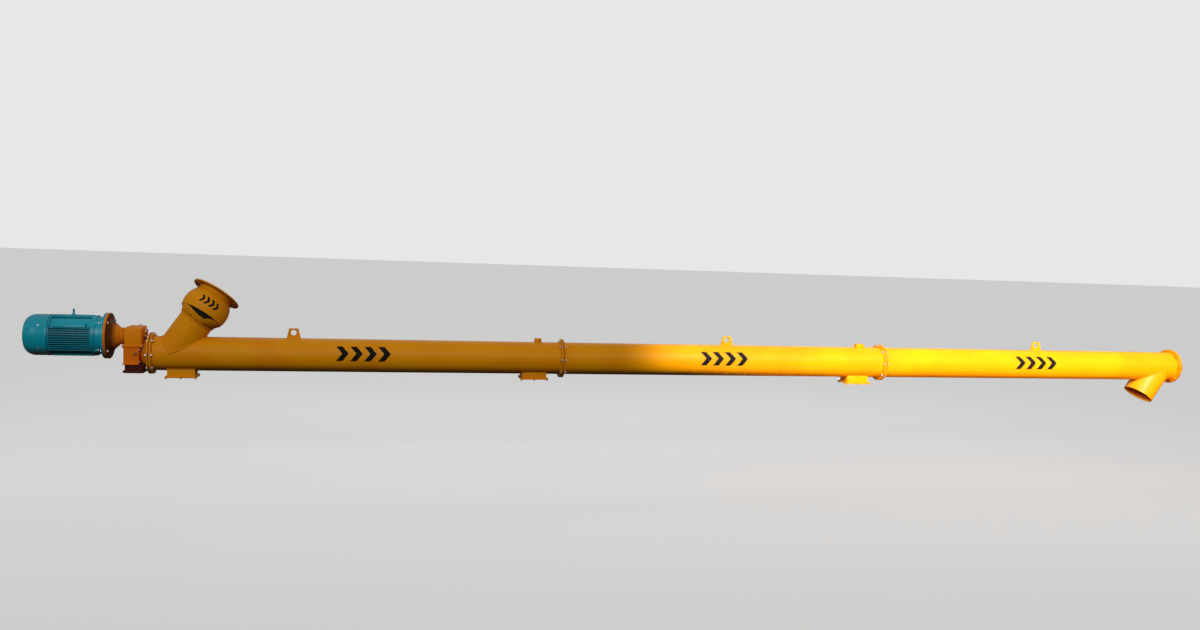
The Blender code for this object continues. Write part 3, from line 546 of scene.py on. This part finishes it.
def bead_tree():
    """A weld bead or a plain wire along each path of edges."""
    add, size = start_tree("Swept Bead", {
        "Bead Radius": 0.0045, "Ripple Length": 0.007, "Ripple Depth": 0.14, "Step": 0.0035})
    path = add("MeshToCurve", [size["Geometry"]])
    even = add("ResampleCurve", {"Curve": path, "Length": size["Step"]}, mode="LENGTH")
    along = add("SplineParameter").outputs["Length"]
    ripples = add(MATH, [along, size["Ripple Length"]], "DIVIDE")
    phase = add(MATH, [ripples, 2 * pi], "MULTIPLY")
    wave = add(MATH, [phase], "SINE")
    spot = add("InputPosition")
    uneven = add(NOISE, {"Vector": spot, "Scale": 30.0, "Detail": 2.0})
    both = add(MATH, [uneven, 2.5, wave], "MULTIPLY_ADD")
    swell = add(MATH, [both, size["Ripple Depth"], 0.85], "MULTIPLY_ADD")
    section = add("CurvePrimitiveCircle", {"Resolution": 8, "Radius": size["Bead Radius"]})
    bead = add(SWEEP, {"Curve": even, "Profile Curve": section, "Scale": swell, "Fill Caps": True})
    return end_tree(add, size, add("SetShadeSmooth", [bead]))


def flight_tree():
    """A helical flight about Z: a flat blade swept along a spiral."""
    add, size = start_tree("Screw Flight", {
        "Turns": 10.0, "Length": 2.5, "Inner Radius": 0.0405, "Outer Radius": 0.122, "Blade": 0.005,
        "Steps per Turn": 24})
    inner, outer = size["Inner Radius"], size["Outer Radius"]
    both = add(MATH, [inner, outer])
    middle = add(MATH, [both, 0.5], "MULTIPLY")
    spiral = add("CurveSpiral", {
        "Resolution": size["Steps per Turn"], "Rotations": size["Turns"], "Start Radius": middle,
        "End Radius": middle, "Height": size["Length"]})
    upright = add("SetCurveNormal", [spiral], mode="Z_UP")
    reach = add(MATH, [outer, inner], "SUBTRACT")
    blade = add("CurvePrimitiveQuadrilateral", {"Width": reach, "Height": size["Blade"]})
    swept = add(SWEEP, {"Curve": upright, "Profile Curve": blade, "Fill Caps": True})
    return end_tree(add, size, swept)


def fan_tree():
    """Straight blades round a hub about Z."""
    add, size = start_tree("Fan Blades", {
        "Count": 7, "Middle Radius": 0.058, "Reach": 0.078, "Depth": 0.036, "Blade": 0.0035})
    sizes = add(GATHER, [size["Reach"], size["Blade"], size["Depth"]])
    blade = add("MeshCube", {"Size": sizes})
    circle = add("MeshCircle", {"Vertices": size["Count"], "Radius": size["Middle Radius"]})
    turn = add(MATH, [2 * pi, size["Count"]], "DIVIDE")
    number = add("InputIndex")
    angle = add(MATH, [number, turn], "MULTIPLY")
    spin = add(GATHER, {2: angle})
    ring = add("InstanceOnPoints", {"Points": circle, "Instance": blade, "Rotation": spin})
    return end_tree(add, size, ring)


def path_mesh(paths):
    """A mesh of edges from lists of points. A path whose ends meet is closed."""
    points, edges = [], []
    for path in paths:
        first = len(points)
        closed = (Vector(path[0]) - Vector(path[-1])).length < 1e-6
        spots = path[:-1] if closed else path
        points += spots
        edges += [(first + at, first + (at + 1) % len(spots)) for at in range(len(path) - 1)]
    mesh = bpy.data.meshes.new("paths")
    mesh.from_pydata([tuple(point) for point in points], edges, [])
    return mesh


def lathe(profile, steps, place, ring=False):
    """A closed mesh from a profile of (radius, height) points turned about Z. A ring's profile is
    closed by itself."""
    form = bmesh.new()
    rows = []
    for radius, height in profile:
        angles = [2 * pi * s / steps for s in range(steps)] if radius > 1e-6 else [0.0]
        rows.append([form.verts.new((radius * cos(a), radius * sin(a), height)) for a in angles])
    for low, high in zip(rows, rows[1:] + (rows[:1] if ring else [])):
        for s in range(steps):
            t = s + 1
            corners = [
                low[s % len(low)], low[t % len(low)], high[t % len(high)], high[s % len(high)]]
            corners = [v for at, v in enumerate(corners) if v not in corners[:at]]
            if len(corners) > 2:
                form.faces.new(corners)
    bmesh.ops.recalc_face_normals(form, faces=form.faces)
    mesh = mesh_from(form, soft=True)
    mesh.transform(place)
    return mesh


def shell(rows_out, rows_in, closed):
    """A closed thin mesh from matching rows of outer and inner points."""
    form = bmesh.new()
    out, back = (
        [[form.verts.new(point) for point in row] for row in rows] for rows in (rows_out, rows_in))
    lines, width = len(rows_out), len(rows_out[0])
    spans = [(s, (s + 1) % width) for s in range(width if closed else width - 1)]
    for layer in (out, back):
        for r in range(lines - 1):
            for s, t in spans:
                form.faces.new((layer[r][s], layer[r][t], layer[r + 1][t], layer[r + 1][s]))
    for r in (0, lines - 1):
        for s, t in spans:
            form.faces.new((out[r][s], out[r][t], back[r][t], back[r][s]))
    for s in () if closed else (0, width - 1):
        for r in range(lines - 1):
            form.faces.new((out[r][s], out[r + 1][s], back[r + 1][s], back[r][s]))
    bmesh.ops.recalc_face_normals(form, faces=form.faces)
    return mesh_from(form, soft=True)


def circle_path(middle, axis, radius, steps=96):
    """A closed circle about an axis."""
    across = axis.orthogonal().normalized()
    other = axis.normalized().cross(across)
    angles = [2 * pi * step / steps for step in range(steps)] + [0.0]
    return [middle + across * (radius * cos(a)) + other * (radius * sin(a)) for a in angles]


def saddle_path(station, lean, radius, steps=96):
    """Where a leaning pipe meets the outside of the tube."""
    axis, across = Vector((sin(lean), 0, cos(lean))), Vector((cos(lean), 0, -sin(lean)))
    points = []
    for step in list(range(steps)) + [0]:
        angle = 2 * pi * step / steps
        off = across * (radius * cos(angle)) + Vector((0, radius * sin(angle), 0))
        height = sqrt(max(TUBE_R ** 2 - off.y ** 2, 0)) * (1 if axis.z > 0 else -1)
        points.append(local(station, 0, 0) + off + axis * ((height - off.z) / axis.z))
    return points


def foot_path(station, half_l, half_w, below=False, steps=12):
    """Where an upright block's outline meets the tube."""
    side = -1 if below else 1
    ends = []
    for end in (-1, 1):
        across = [half_w * (2 * step / steps - 1) * -end for step in range(steps + 1)]
        ends.append(
            [local(station + end * half_l, y, side * sqrt(TUBE_R ** 2 - y ** 2)) for y in across])
    return ends[0] + ends[1] + ends[0][:1]


def ball_point(radius, polar, azimuth):
    """A point on the ball, at an angle from the pipe's axis and one from the front."""
    p, a = radians(polar), radians(azimuth)
    around = SWIVEL * sin(a) + Vector((0, -1, 0)) * cos(a)
    return BALL + radius * (PIPE_AXIS * cos(p) + around * sin(p))


def read_curve(pairs, at):
    """Read a curve of (place, value) pairs, with straight lines between."""
    for (low, first), (high, second) in zip(pairs, pairs[1:]):
        if at <= high:
            return first + (second - first) * (at - low) / (high - low)
    return pairs[-1][1]


def on_tube(station, u, v, lift):
    """A point that is u forward, v upward and lift off the front of the tube."""
    angle = v / TUBE_R + MARK_RISE
    radius = TUBE_R + lift
    return local(station + u, -radius * cos(angle), radius * sin(angle))


def on_ball(middle, u, v, lift):
    """A point that is u forward, v upward and lift off the front of the ball."""
    face = ball_point(1.0, 62, 4) - BALL
    along = (SWIVEL - face * face.dot(SWIVEL)).normalized()
    way = face + along * ((u + middle) / CAP_R) + along.cross(face) * (v / CAP_R)
    return BALL + way.normalized() * (CAP_R + lift)


def flow_mark(surface, tip, bar, height, steps=12):
    """One chevron as a film of paint on a surface."""
    outer, inner = [], []
    for rows, lift in ((outer, 0.0006), (inner, -0.0008)):
        for step in range(steps + 1):
            v = height * (step / steps - 0.5)
            u = tip * (1 - abs(2 * v / height)) - (tip + bar) / 2
            rows.append([surface(u + bar * part / 4, v, lift) for part in range(5)])
    return shell(outer, inner, closed=False)


class CONVEYOR_OT_casing(bpy.types.Operator):
    """Smooth and paint the tube, its flanges, the spout, the lugs and the grease blocks"""
    bl_idname = "conveyor.casing"
    bl_label = "Casing"

    def execute(self, context):
        for number in (1, 2, 3):
            refine("casing_tube_%d" % number, "yellow")
            refine("lifting_lug_%d" % number, "yellow", 0.0012)
            for side in ("inlet", "outlet"):
                refine("tube_%d_%s_side_flange" % (number, side), "flange", 0.0015)
        refine("drive_flange", "flange", 0.0015, "orange_gearbox_enamel")
        refine("end_cover", "flange", 0.0015)
        refine("end_bearing", "orange", 0.0015)
        refine("outlet_spout", "spout")
        for number in (1, 2):
            refine("grease_block_%d" % number, "yellow", 0.0015)
        return {"FINISHED"}


class CONVEYOR_OT_hatches(bpy.types.Operator):
    """Smooth and paint the hatches, bolt their covers on, and fit the small ports"""
    bl_idname = "conveyor.hatches"
    bl_label = "Hatches"

    COVER_BOLTS = {"Length": 0.220, "Width": 0.161, "Along": 3, "Grip": 0.0103, **BOLTS["hatch"]}
    PORT = ((0, 0), (0.0065, 0), (0.0065, 0.0012), (0.0050, 0.0018), (0, 0.0018))
    # Each port's station, half the width of the block that it is in, and its height
    PORTS = ((5.975, HATCH_HALF_W, -0.163), (6.122, BLOCK_HALF_W, 0.154),
             (3.108, BLOCK_HALF_W, 0.152))

    def execute(self, context):
        tree = bolt_grid_tree()
        bolts = []
        for number, (station, drop) in enumerate(HATCHES, 1):
            refine("hatch_frame_%d" % number, "yellow", 0.0012)
            refine("hatch_cover_%d" % number, "yellow", 0.0008)
            place = placed(station, 0, -drop + HATCH_COVER_T + 0.0010, Matrix())
            bolts.append(grown(tree, {**self.COVER_BOLTS, "Seed": number}, "yellow", place))
        show("hatch_bolts", joined(bolts), "yellow")
        latch = circle_path(local(5.905, -0.03, -0.145), Vector((0.3, 1, 0)), 0.011, 32)
        ring = grown(bead_tree(), {"Bead Radius": 0.0026, "Ripple Depth": 0.0}, "zinc",
                     base=path_mesh([latch]))
        show("hatch_3_ring", ring, "zinc")
        # Each port is a flat dark disc of painted shade, standing for its hole.
        ports = [lathe(self.PORT, 24, placed(station, -half_w, up, FRONT_FROM_Z))
                 for station, half_w, up in self.PORTS]
        show("port_hole_shade", joined(ports), "shade")
        return {"FINISHED"}


class CONVEYOR_OT_inlet(bpy.types.Operator):
    """Smooth and paint the inlet, and spread the beaten sheet edge over the ball's liner"""
    bl_idname = "conveyor.inlet"
    bl_label = "Inlet"

    # The azimuth and the polar angle of the ragged edge, in degrees
    EDGE = ((-180, 97), (-60, 97), (-40, 98.4), (-14.7, 101.4), (0, 104.6), (15, 106.4), (22, 102),
            (29, 97.9), (49, 96.2), (70, 101.2), (86, 105.8), (120, 105.8), (180, 97))
    # The polar angle at the sheet's foot, its rows, its radius at each angle, and its thickness
    FOOT, ROWS, THICKNESS = 127, 9, 0.0008
    RADIUS = ((80, 0.1772), (113, 0.1772), (120, 0.1744), (128, 0.1741))

    def execute(self, context):
        refine("inlet_pipe", "yellow")
        refine("ball_cup", "hammered")
        refine("ball_liner", "rubber")
        refine("ball_cap", "yellow", body="inlet_ball")
        refine("inlet_flange", "flange", 0.0012, body="inlet_ball")
        outer, inner = ([[] for row in range(self.ROWS)] for side in range(2))
        for azimuth in range(-180, 180):
            # Teeth of 10 to 20 mm in front, as the torn sheet has.
            tear = 2.0 * lattice_noise(Vector((azimuth * 0.23, 1.7, 0)))
            tear += 1.8 * lattice_noise(Vector((azimuth * 0.71, 5.1, 0)))
            edge = read_curve(self.EDGE, azimuth) + (tear if -30 < azimuth < 27 else 0.25 * tear)
            for row in range(self.ROWS):
                polar = edge + (self.FOOT - edge) * (row / (self.ROWS - 1)) ** 1.4
                radius = read_curve(self.RADIUS, polar)
                outer[row].append(ball_point(radius, polar, azimuth))
                inner[row].append(ball_point(radius - self.THICKNESS, polar, azimuth))
        show("beaten_sheet_edge", shell(outer, inner, closed=True), "hammered")
        return {"FINISHED"}


class CONVEYOR_OT_motor(bpy.types.Operator):
    """Make the motor's thin fan cowl with its grille and fan, and smooth and paint the rest"""
    bl_idname = "conveyor.motor"
    bl_label = "Motor"

    # Profiles of the cowl's rolled bead and mouth, the fan's hub, a lug and a screw's head
    BEAD = [(COWL_R, COWL_START), (COWL_R, -0.737), (0.1612, -0.739), (0.1612, -0.744),
            (COWL_R, -0.746)]
    LIP = [(COWL_MOUTH_R, -0.9085), (COWL_MOUTH_R, -0.9055)]
    HUB = ((0, -0.905), (0.018, -0.905), (0.024, -0.900), (0.024, -0.860), (0.110, -0.858),
           (0.110, -0.855), (0, -0.855))
    LUG = ((0, -0.398), (0.0155, -0.398), (0.0155, -0.374), (0.0140, -0.372), (0, -0.372))
    SCREW = ((0, 0), (0.0085, 0), (0.0085, 0.0012), (0.0075, 0.0032), (0.0030, 0.0042), (0, 0.0042))
    LUG_BOLTS = {"Count": 4, "Circle Radius": LUG_CIRCLE, "Start Angle": pi / 4, "Grip": 0.020,
                 **BOLTS["lug"]}
    FLANGE_BOLTS = {"Count": 4, "Circle Radius": FLANGE_CIRCLE, "Start Angle": pi / 4,
                    "Grip": 0.0363, "Seed": 5}

    def make_cowl(self):
        """The pressed cowl: a rolled bead, a round shoulder and an air mouth."""
        outside, inside = [], []
        for step in range(11):
            angle = pi / 2 * step / 10
            rim, back = 0.055 * (1 - cos(angle)), 1 - sin(angle)
            outside.append((COWL_R - rim, COWL_FACE + 0.012 + 0.078 * back))
            inside.append((COWL_R - COWL_WALL - rim, COWL_FACE + 0.012 + COWL_WALL + 0.075 * back))
        profile = self.BEAD + outside + self.LIP + inside[::-1] + [(COWL_R - COWL_WALL, COWL_START)]
        return lathe(profile, 96, ON_MOTOR, ring=True)

    def make_grille(self):
        """The grille's hoops and spokes, a shallow cone over the mouth."""
        hoops = [circle_path(Z_AXIS * (GRILLE_FACE + GRILLE_SLOPE * r), Z_AXIS, r, 48)
                 for r in (0.012 + 0.0105 * ring for ring in range(9))]
        spokes = [[Vector((r * cos(a), r * sin(a), GRILLE_FACE + 0.001 + GRILLE_SLOPE * r))
                   for r in (0.010, 0.055, 0.102)] for a in (pi / 4 * spoke for spoke in range(8))]
        return grown(bead_tree(), {"Bead Radius": 0.0018, "Ripple Depth": 0.0, "Step": 0.006},
                     "teal", ON_MOTOR, path_mesh(hoops + spokes))

    def execute(self, context):
        refine("motor_frame", "fins", 0.0012)
        refine("motor_end_shield", "teal", 0.0015)
        refine("motor_eye_bolt", "teal")
        cowl = show("fan_cowl", self.make_cowl(), "teal")
        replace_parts(cowl, "motor_fan_cowl")
        show("fan_grille", self.make_grille(), "teal")
        blades = grown(fan_tree(), {}, "nylon", placed(FAN_AT, 0, MOTOR_UP))
        hub = lathe(self.HUB, 48, ON_MOTOR)
        show("cooling_fan", joined([blades, hub]), "nylon")

        lugs = []
        for angle in (radians(a) for a in (45, 135, 225, 315)):
            y, z = LUG_CIRCLE * cos(angle), LUG_CIRCLE * sin(angle)
            lugs.append(lathe(self.LUG, 24, placed(0, y, MOTOR_UP + z)))
        show("end_shield_lugs", joined(lugs), "teal")
        tree = bolt_ring_tree()
        bolts = [grown(tree, self.LUG_BOLTS, "zinc", placed(-0.382, 0, MOTOR_UP)),
                 grown(tree, self.FLANGE_BOLTS, "zinc", placed(-0.32335, 0, MOTOR_UP))]
        lift = Matrix.Translation((0, 0, COWL_R - 0.0004))
        for angle in (57, 123, -57, -123):
            turn = Matrix.Rotation(radians(angle), 4, "X")
            bolts.append(lathe(self.SCREW, 20, placed(-0.789, 0, MOTOR_UP, turn) @ lift))
        show("motor_bolts", joined(bolts), "zinc")
        return {"FINISHED"}


class CONVEYOR_OT_gearbox(bpy.types.Operator):
    """Smooth and paint the bell adapter and the gearbox, and fit their caps and bolts"""
    bl_idname = "conveyor.gearbox"
    bl_label = "Gearbox"

    CAP = ((0, -0.0577), (0.048, -0.0577), (0.048, -0.047), (0.046, -0.045), (0.030, -0.045),
           (0.027, -0.038), (0, -0.038))

    def execute(self, context):
        refine("bell_adapter", "brown", 0.0020)
        refine("output_cover", "brown", 0.0015)
        refine("gearbox_base", "base", 0.0030)
        refine("gearbox_upper_housing", "orange", 0.0025)
        refine("gearbox_lower_housing", "lower", 0.0025)
        refine("gearbox_breather", "zinc")
        refine("oil_level_plug", "brass")
        cap = lathe(self.CAP, 48, placed(0, 0, UPPER_SHAFT_UP))
        show("bearing_cap", cap, "brown")
        ring, grid = bolt_ring_tree(), bolt_grid_tree()
        # The bolts of the bearing cap, of the split between the housings, and of the output cover
        rows = (
            (ring, {"Count": 6, "Circle Radius": 0.039, "Grip": 0.016},
             placed(-0.053, 0, UPPER_SHAFT_UP)),
            (grid, {"Length": 0.139, "Width": 0.178, "Grip": 0.0163},
             placed(-0.1255, 0, GEARBOX_SPLIT, Matrix())),
            (grid, {"Length": 0.094, "Width": 0.186, "Grip": 0.012, "Seed": 9},
             placed(-0.0835, 0, -0.013)))
        bolts = [grown(tree, {**BOLTS["gearbox"], **sizes}, "zinc", place)
                 for tree, sizes, place in rows]
        show("gearbox_bolts", joined(bolts), "zinc")
        return {"FINISHED"}


class CONVEYOR_OT_screw(bpy.types.Operator):
    """Make the screw's smooth flights and shafts, and paint the hanger bearings"""
    bl_idname = "conveyor.screw"
    bl_label = "Screw"

    JOURNAL_R, SHAFT_R, SHAFT_PAST = 0.025, 0.0445, 0.010

    def execute(self, context):
        sizes = context.scene.conveyor_fittings
        tree = flight_tree()
        for number in (1, 2):
            refine("hanger_bearing_%d" % number, "steel", 0.0010)
        for number in (1, 2, 3):
            node = "screw_length_%d" % number
            low, high = (corner.x - DRIVE_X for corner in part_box(node))
            blades = [v.co.x - DRIVE_X for v in frame["nodes"][node].data.vertices
                      if Vector((v.co.y - AXIS_Y, v.co.z - AXIS_Z)).length > 0.1]
            start, end = min(blades), max(blades)
            above, under = end + self.SHAFT_PAST, start - self.SHAFT_PAST
            profile = ((0, high), (self.JOURNAL_R, high), (self.JOURNAL_R, above),
                       (self.SHAFT_R, above), (self.SHAFT_R, under), (self.JOURNAL_R, under),
                       (self.JOURNAL_R, low), (0, low))
            shaft = lathe(profile, 32, placed(0))
            flight = grown(tree, {"Turns": (end - start) / sizes.pitch, "Length": end - start,
                                  "Outer Radius": sizes.flight_radius}, "steel", placed(start))
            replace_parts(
                show("screw_run_%d" % number, joined([shaft, flight]), "steel", "worn_steel"), node)
        return {"FINISHED"}


class CONVEYOR_OT_bolts(bpy.types.Operator):
    """Fit the bolts round the casing flanges and the end bearing"""
    bl_idname = "conveyor.bolts"
    bl_label = "Casing Bolts"

    BEARING_BOLTS = {"Count": 4, "Circle Radius": 0.060, "Start Angle": pi / 4, "Grip": 0.014,
                     **BOLTS["bearing"]}

    def execute(self, context):
        sizes = context.scene.conveyor_fittings
        tree = bolt_ring_tree()
        common = {"Count": sizes.flange_bolts, "Circle Radius": sizes.bolt_circle,
                  "Head Radius": sizes.head_radius, "Head Height": sizes.head_height,
                  "Grip": 2 * FLANGE_T}
        rings = [grown(tree, {**common, "Seed": seed}, finish, placed(station, turn=MINUS_X_FROM_Z))
                 for seed, station, finish in ((0, 0, "zinc"), (1, JOINTS[0], "zinc"),
                                               (2, JOINTS[1], "rusted"))]
        show("joint_2_bolts", rings.pop(), "rusted")
        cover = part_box("end_cover")[1].x - DRIVE_X
        grip = cover - TUBE_END + FLANGE_T
        ends = grown(
            tree, {**common, "Grip": grip, "Seed": 7}, "hammered", placed(cover - grip / 2))
        show("end_flange_bolts", ends, "hammered")
        rings.append(grown(tree, self.BEARING_BOLTS, "zinc", placed(cover + 0.0073)))
        show("casing_bolts", joined(rings), "zinc")
        return {"FINISHED"}


class CONVEYOR_OT_welds(bpy.types.Operator):
    """Run the weld beads along the joins of the casing and the inlet"""
    bl_idname = "conveyor.welds"
    bl_label = "Welds"

    BRANCH_BEAD = 0.0060

    def execute(self, context):
        sizes = context.scene.conveyor_fittings
        tree = bead_tree()
        fillet = {"Bead Radius": sizes.weld_radius, "Ripple Length": sizes.ripple_length}
        thick = {**fillet, "Bead Radius": self.BRANCH_BEAD}
        faces = [end + side for end in (0, *JOINTS, TUBE_END) for side in (-FLANGE_T, FLANGE_T)]
        paths = [circle_path(local(face, 0, 0), X_AXIS, TUBE_R + 0.001) for face in faces[1:-1]]
        paths += [foot_path(station, LUG_HALF_L, LUG_HALF_T) for station in LUG_STATIONS]
        paths += [foot_path(station, half_l, BLOCK_HALF_W) for station, half_l in BLOCK_SIZES]
        paths += [
            foot_path(station, HATCH_HALF_L, HATCH_HALF_W, below=True) for station, drop in HATCHES]
        cup_foot = sqrt(CUP_R ** 2 - PIPE_R ** 2)
        saddles = [saddle_path(PIPE_STATION, asin(PIPE_AXIS.x), PIPE_R + 0.001),
                   saddle_path(SPOUT_STATION, SPOUT_LEAN + pi, TUBE_R - 0.001),
                   circle_path(BALL - PIPE_AXIS * cup_foot, PIPE_AXIS, PIPE_R + 0.002)]
        neck_foot = sqrt(CAP_R ** 2 - NECK_R ** 2)
        necks = [circle_path(BALL + CAP_AXIS * (NECK_TOP - 0.001), CAP_AXIS, NECK_R + 0.001),
                 circle_path(BALL + CAP_AXIS * neck_foot, CAP_AXIS, NECK_R)]
        for name, bead, lines, body in (("casing_welds", fillet, paths, "conveyor"),
                                        ("branch_welds", thick, saddles, "conveyor"),
                                        ("neck_welds", fillet, necks, "inlet_ball")):
            show(name, grown(tree, bead, "yellow", base=path_mesh(lines)), "yellow", body=body)
        return {"FINISHED"}


class CONVEYOR_OT_marks(bpy.types.Operator):
    """Stencil the flow marks on the tube and the ball"""
    bl_idname = "conveyor.marks"
    bl_label = "Flow Marks"

    def execute(self, context):
        sizes = context.scene.conveyor_fittings
        offsets = [number - (MARKS_IN_ROW - 1) / 2 for number in range(MARKS_IN_ROW)]
        marks = [
            flow_mark(partial(on_tube, middle + sizes.mark_spacing * offset), *TUBE_MARK,
                      sizes.mark_height)
            for middle in MARK_STATIONS for offset in offsets]
        show("tube_flow_marks", joined(marks), "marks")
        marks = [
            flow_mark(partial(on_ball, BALL_MARK_SPACING * offset), *BALL_MARK, BALL_MARK_HEIGHT)
            for offset in offsets]
        show("ball_flow_marks", joined(marks), "marks", body="inlet_ball")
        return {"FINISHED"}


class CONVEYOR_OT_studio(bpy.types.Operator):
    """Set up the floor, the lights and the camera"""
    bl_idname = "conveyor.studio"
    bl_label = "Studio"

    # Name, place, aim, width, height, spread in degrees, power, colour and whether it lights the
    # floor. The lamps that light only the outlet half don't, so that the floor stays even.
    LAMPS = (("sunny end", (2.6, -4.0, 2.6), (2.6, 0, -0.15), 6.5, 1.0, 10, 34, WHITE, False),
             ("bounce", (2.9, -0.9, -1.05), (2.9, 0, -0.15), 6.0, 0.6, 50, 12, "#FFD4A0", False),
             ("rake", (-2.0, -3.5, 2.4), (3.2, 0, 0), 1.0, 1.0, 40, 26, WHITE, False),
             ("front", (-1.6, -5.0, 2.6), (-1.0, 0, -0.1), 12.0, 2.6, 60, 38, WHITE, True),
             ("back", (0.0, 4.5, 3.2), (0.0, 0, 0), 10.0, 1.5, 120, 24, WHITE, True))

    def execute(self, context):
        scene, studio = context.scene, context.scene.conveyor_studio
        scene.view_settings.view_transform = "Standard"
        camera = bpy.data.cameras.new("camera")
        camera.lens = studio.focal_length
        camera.sensor_width = 36
        camera.clip_end = 200
        viewer = linked("camera", camera)
        viewer.location = studio.camera_place
        viewer.rotation_euler = studio.camera_turn
        scene.camera = viewer
        floor = self.lay_floor(studio)
        self.light_world(scene, studio)
        unlit = bpy.data.collections.new("unlit floor")
        unlit.objects.link(floor)
        unlit.collection_objects[0].light_linking.link_state = "EXCLUDE"
        for name, place, aim, width, height, spread, power, colour, on_floor in self.LAMPS:
            lamp = bpy.data.lights.new(name, "AREA")
            lamp.shape = "RECTANGLE"
            lamp.size, lamp.size_y = width, height
            lamp.spread = radians(spread)
            lamp.energy = power
            lamp.color = linear(colour)[:3]
            holder = linked(name, lamp)
            holder.location = place
            way = Vector(aim) - Vector(place)
            holder.rotation_euler = way.to_track_quat("-Z", "Y").to_euler()
            holder.visible_camera = False
            if not on_floor:
                holder.light_linking.receiver_collection = unlit
        return {"FINISHED"}

    def lay_floor(self, studio):
        """A wide pale floor of painted screed, a trace uneven in tone."""
        form = bmesh.new()
        bmesh.ops.create_grid(form, x_segments=1, y_segments=1, size=60)
        mesh = mesh_from(form)
        mesh.transform(Matrix.Translation((0, 0, CAD_BOX[0][2] - studio.floor_gap)))
        material, add, shader, where = start_finish("pale studio floor")
        grain = add(NOISE, {"Vector": where["Object"], "Scale": 3.0})
        cover = add(RANGE, {0: grain, 1: 0.2, 2: 0.8, 4: 0.1})
        tone = add(MIX, {0: cover, 6: studio.floor_colour, 7: "#BBBBB8"}, data_type="RGBA")
        feed(shader, {
            "Base Color": tone.outputs[2], "Roughness": 0.9, "Emission Color": WHITE,
            "Emission Strength": studio.floor_glow})
        mesh.materials.append(material)
        floor = linked("floor", mesh)
        # The part's underside is nearly black, so the floor throws no light up at it.
        floor.visible_diffuse = floor.visible_glossy = False
        return floor

    def light_world(self, scene, studio):
        """Even light, more from above than from below, and a pale backdrop for the eye."""
        world = bpy.data.worlds.new("studio")
        world.use_nodes = True
        add = partial(add_node, world.node_tree)
        way = add("ShaderNodeTexCoord").outputs["Object"]
        height = add(SPLIT, [way]).outputs["Z"]
        even = add(RANGE, [height, -0.1, 0.1, studio.ground, studio.sky])
        seen = add("ShaderNodeLightPath").outputs["Is Camera Ray"]
        light = add(MIX, {0: seen, 2: even, 3: studio.backdrop_light})
        feed(world.node_tree.nodes["Background"], {"Color": WHITE, "Strength": light})
        scene.world = world


OPERATORS = (CONVEYOR_OT_casing, CONVEYOR_OT_hatches, CONVEYOR_OT_inlet, CONVEYOR_OT_motor,
             CONVEYOR_OT_gearbox, CONVEYOR_OT_screw, CONVEYOR_OT_bolts, CONVEYOR_OT_welds,
             CONVEYOR_OT_marks, CONVEYOR_OT_studio)
GROUPS = {"conveyor_fittings": ConveyorFittings, "conveyor_colours": ConveyorColours,
          "conveyor_studio": ConveyorStudio}


class CONVEYOR_PT_finish(bpy.types.Panel):
    """The conveyor's pieces, sizes and colours"""
    bl_label = "Screw Conveyor"
    bl_space_type = "VIEW_3D"
    bl_region_type = "UI"
    bl_category = "Conveyor"

    def draw(self, context):
        for operator in OPERATORS:
            self.layout.operator(operator.bl_idname)
        for name, group in GROUPS.items():
            box = self.layout.box()
            for setting in group.__annotations__:
                box.prop(getattr(context.scene, name), setting)


def register():
    """Register the classes and put the settings on the scene."""
    for name, group in GROUPS.items():
        bpy.utils.register_class(group)
        setattr(bpy.types.Scene, name, PointerProperty(type=group))
    for kind in (*OPERATORS, CONVEYOR_PT_finish):
        bpy.utils.register_class(kind)


def unregister():
    """Take the classes and the settings away."""
    for kind in (CONVEYOR_PT_finish, *reversed(OPERATORS)):
        bpy.utils.unregister_class(kind)
    for name, group in GROUPS.items():
        delattr(bpy.types.Scene, name)
        bpy.utils.unregister_class(group)


def main():
    """Make every piece and the studio."""
    register()
    make_finishes()
    for operator in OPERATORS:
        group, name = operator.bl_idname.split(".")
        if getattr(getattr(bpy.ops, group), name)() != {"FINISHED"}:
            raise RuntimeError(operator.bl_label + " didn't finish")


if __name__ == "__main__":
    main()
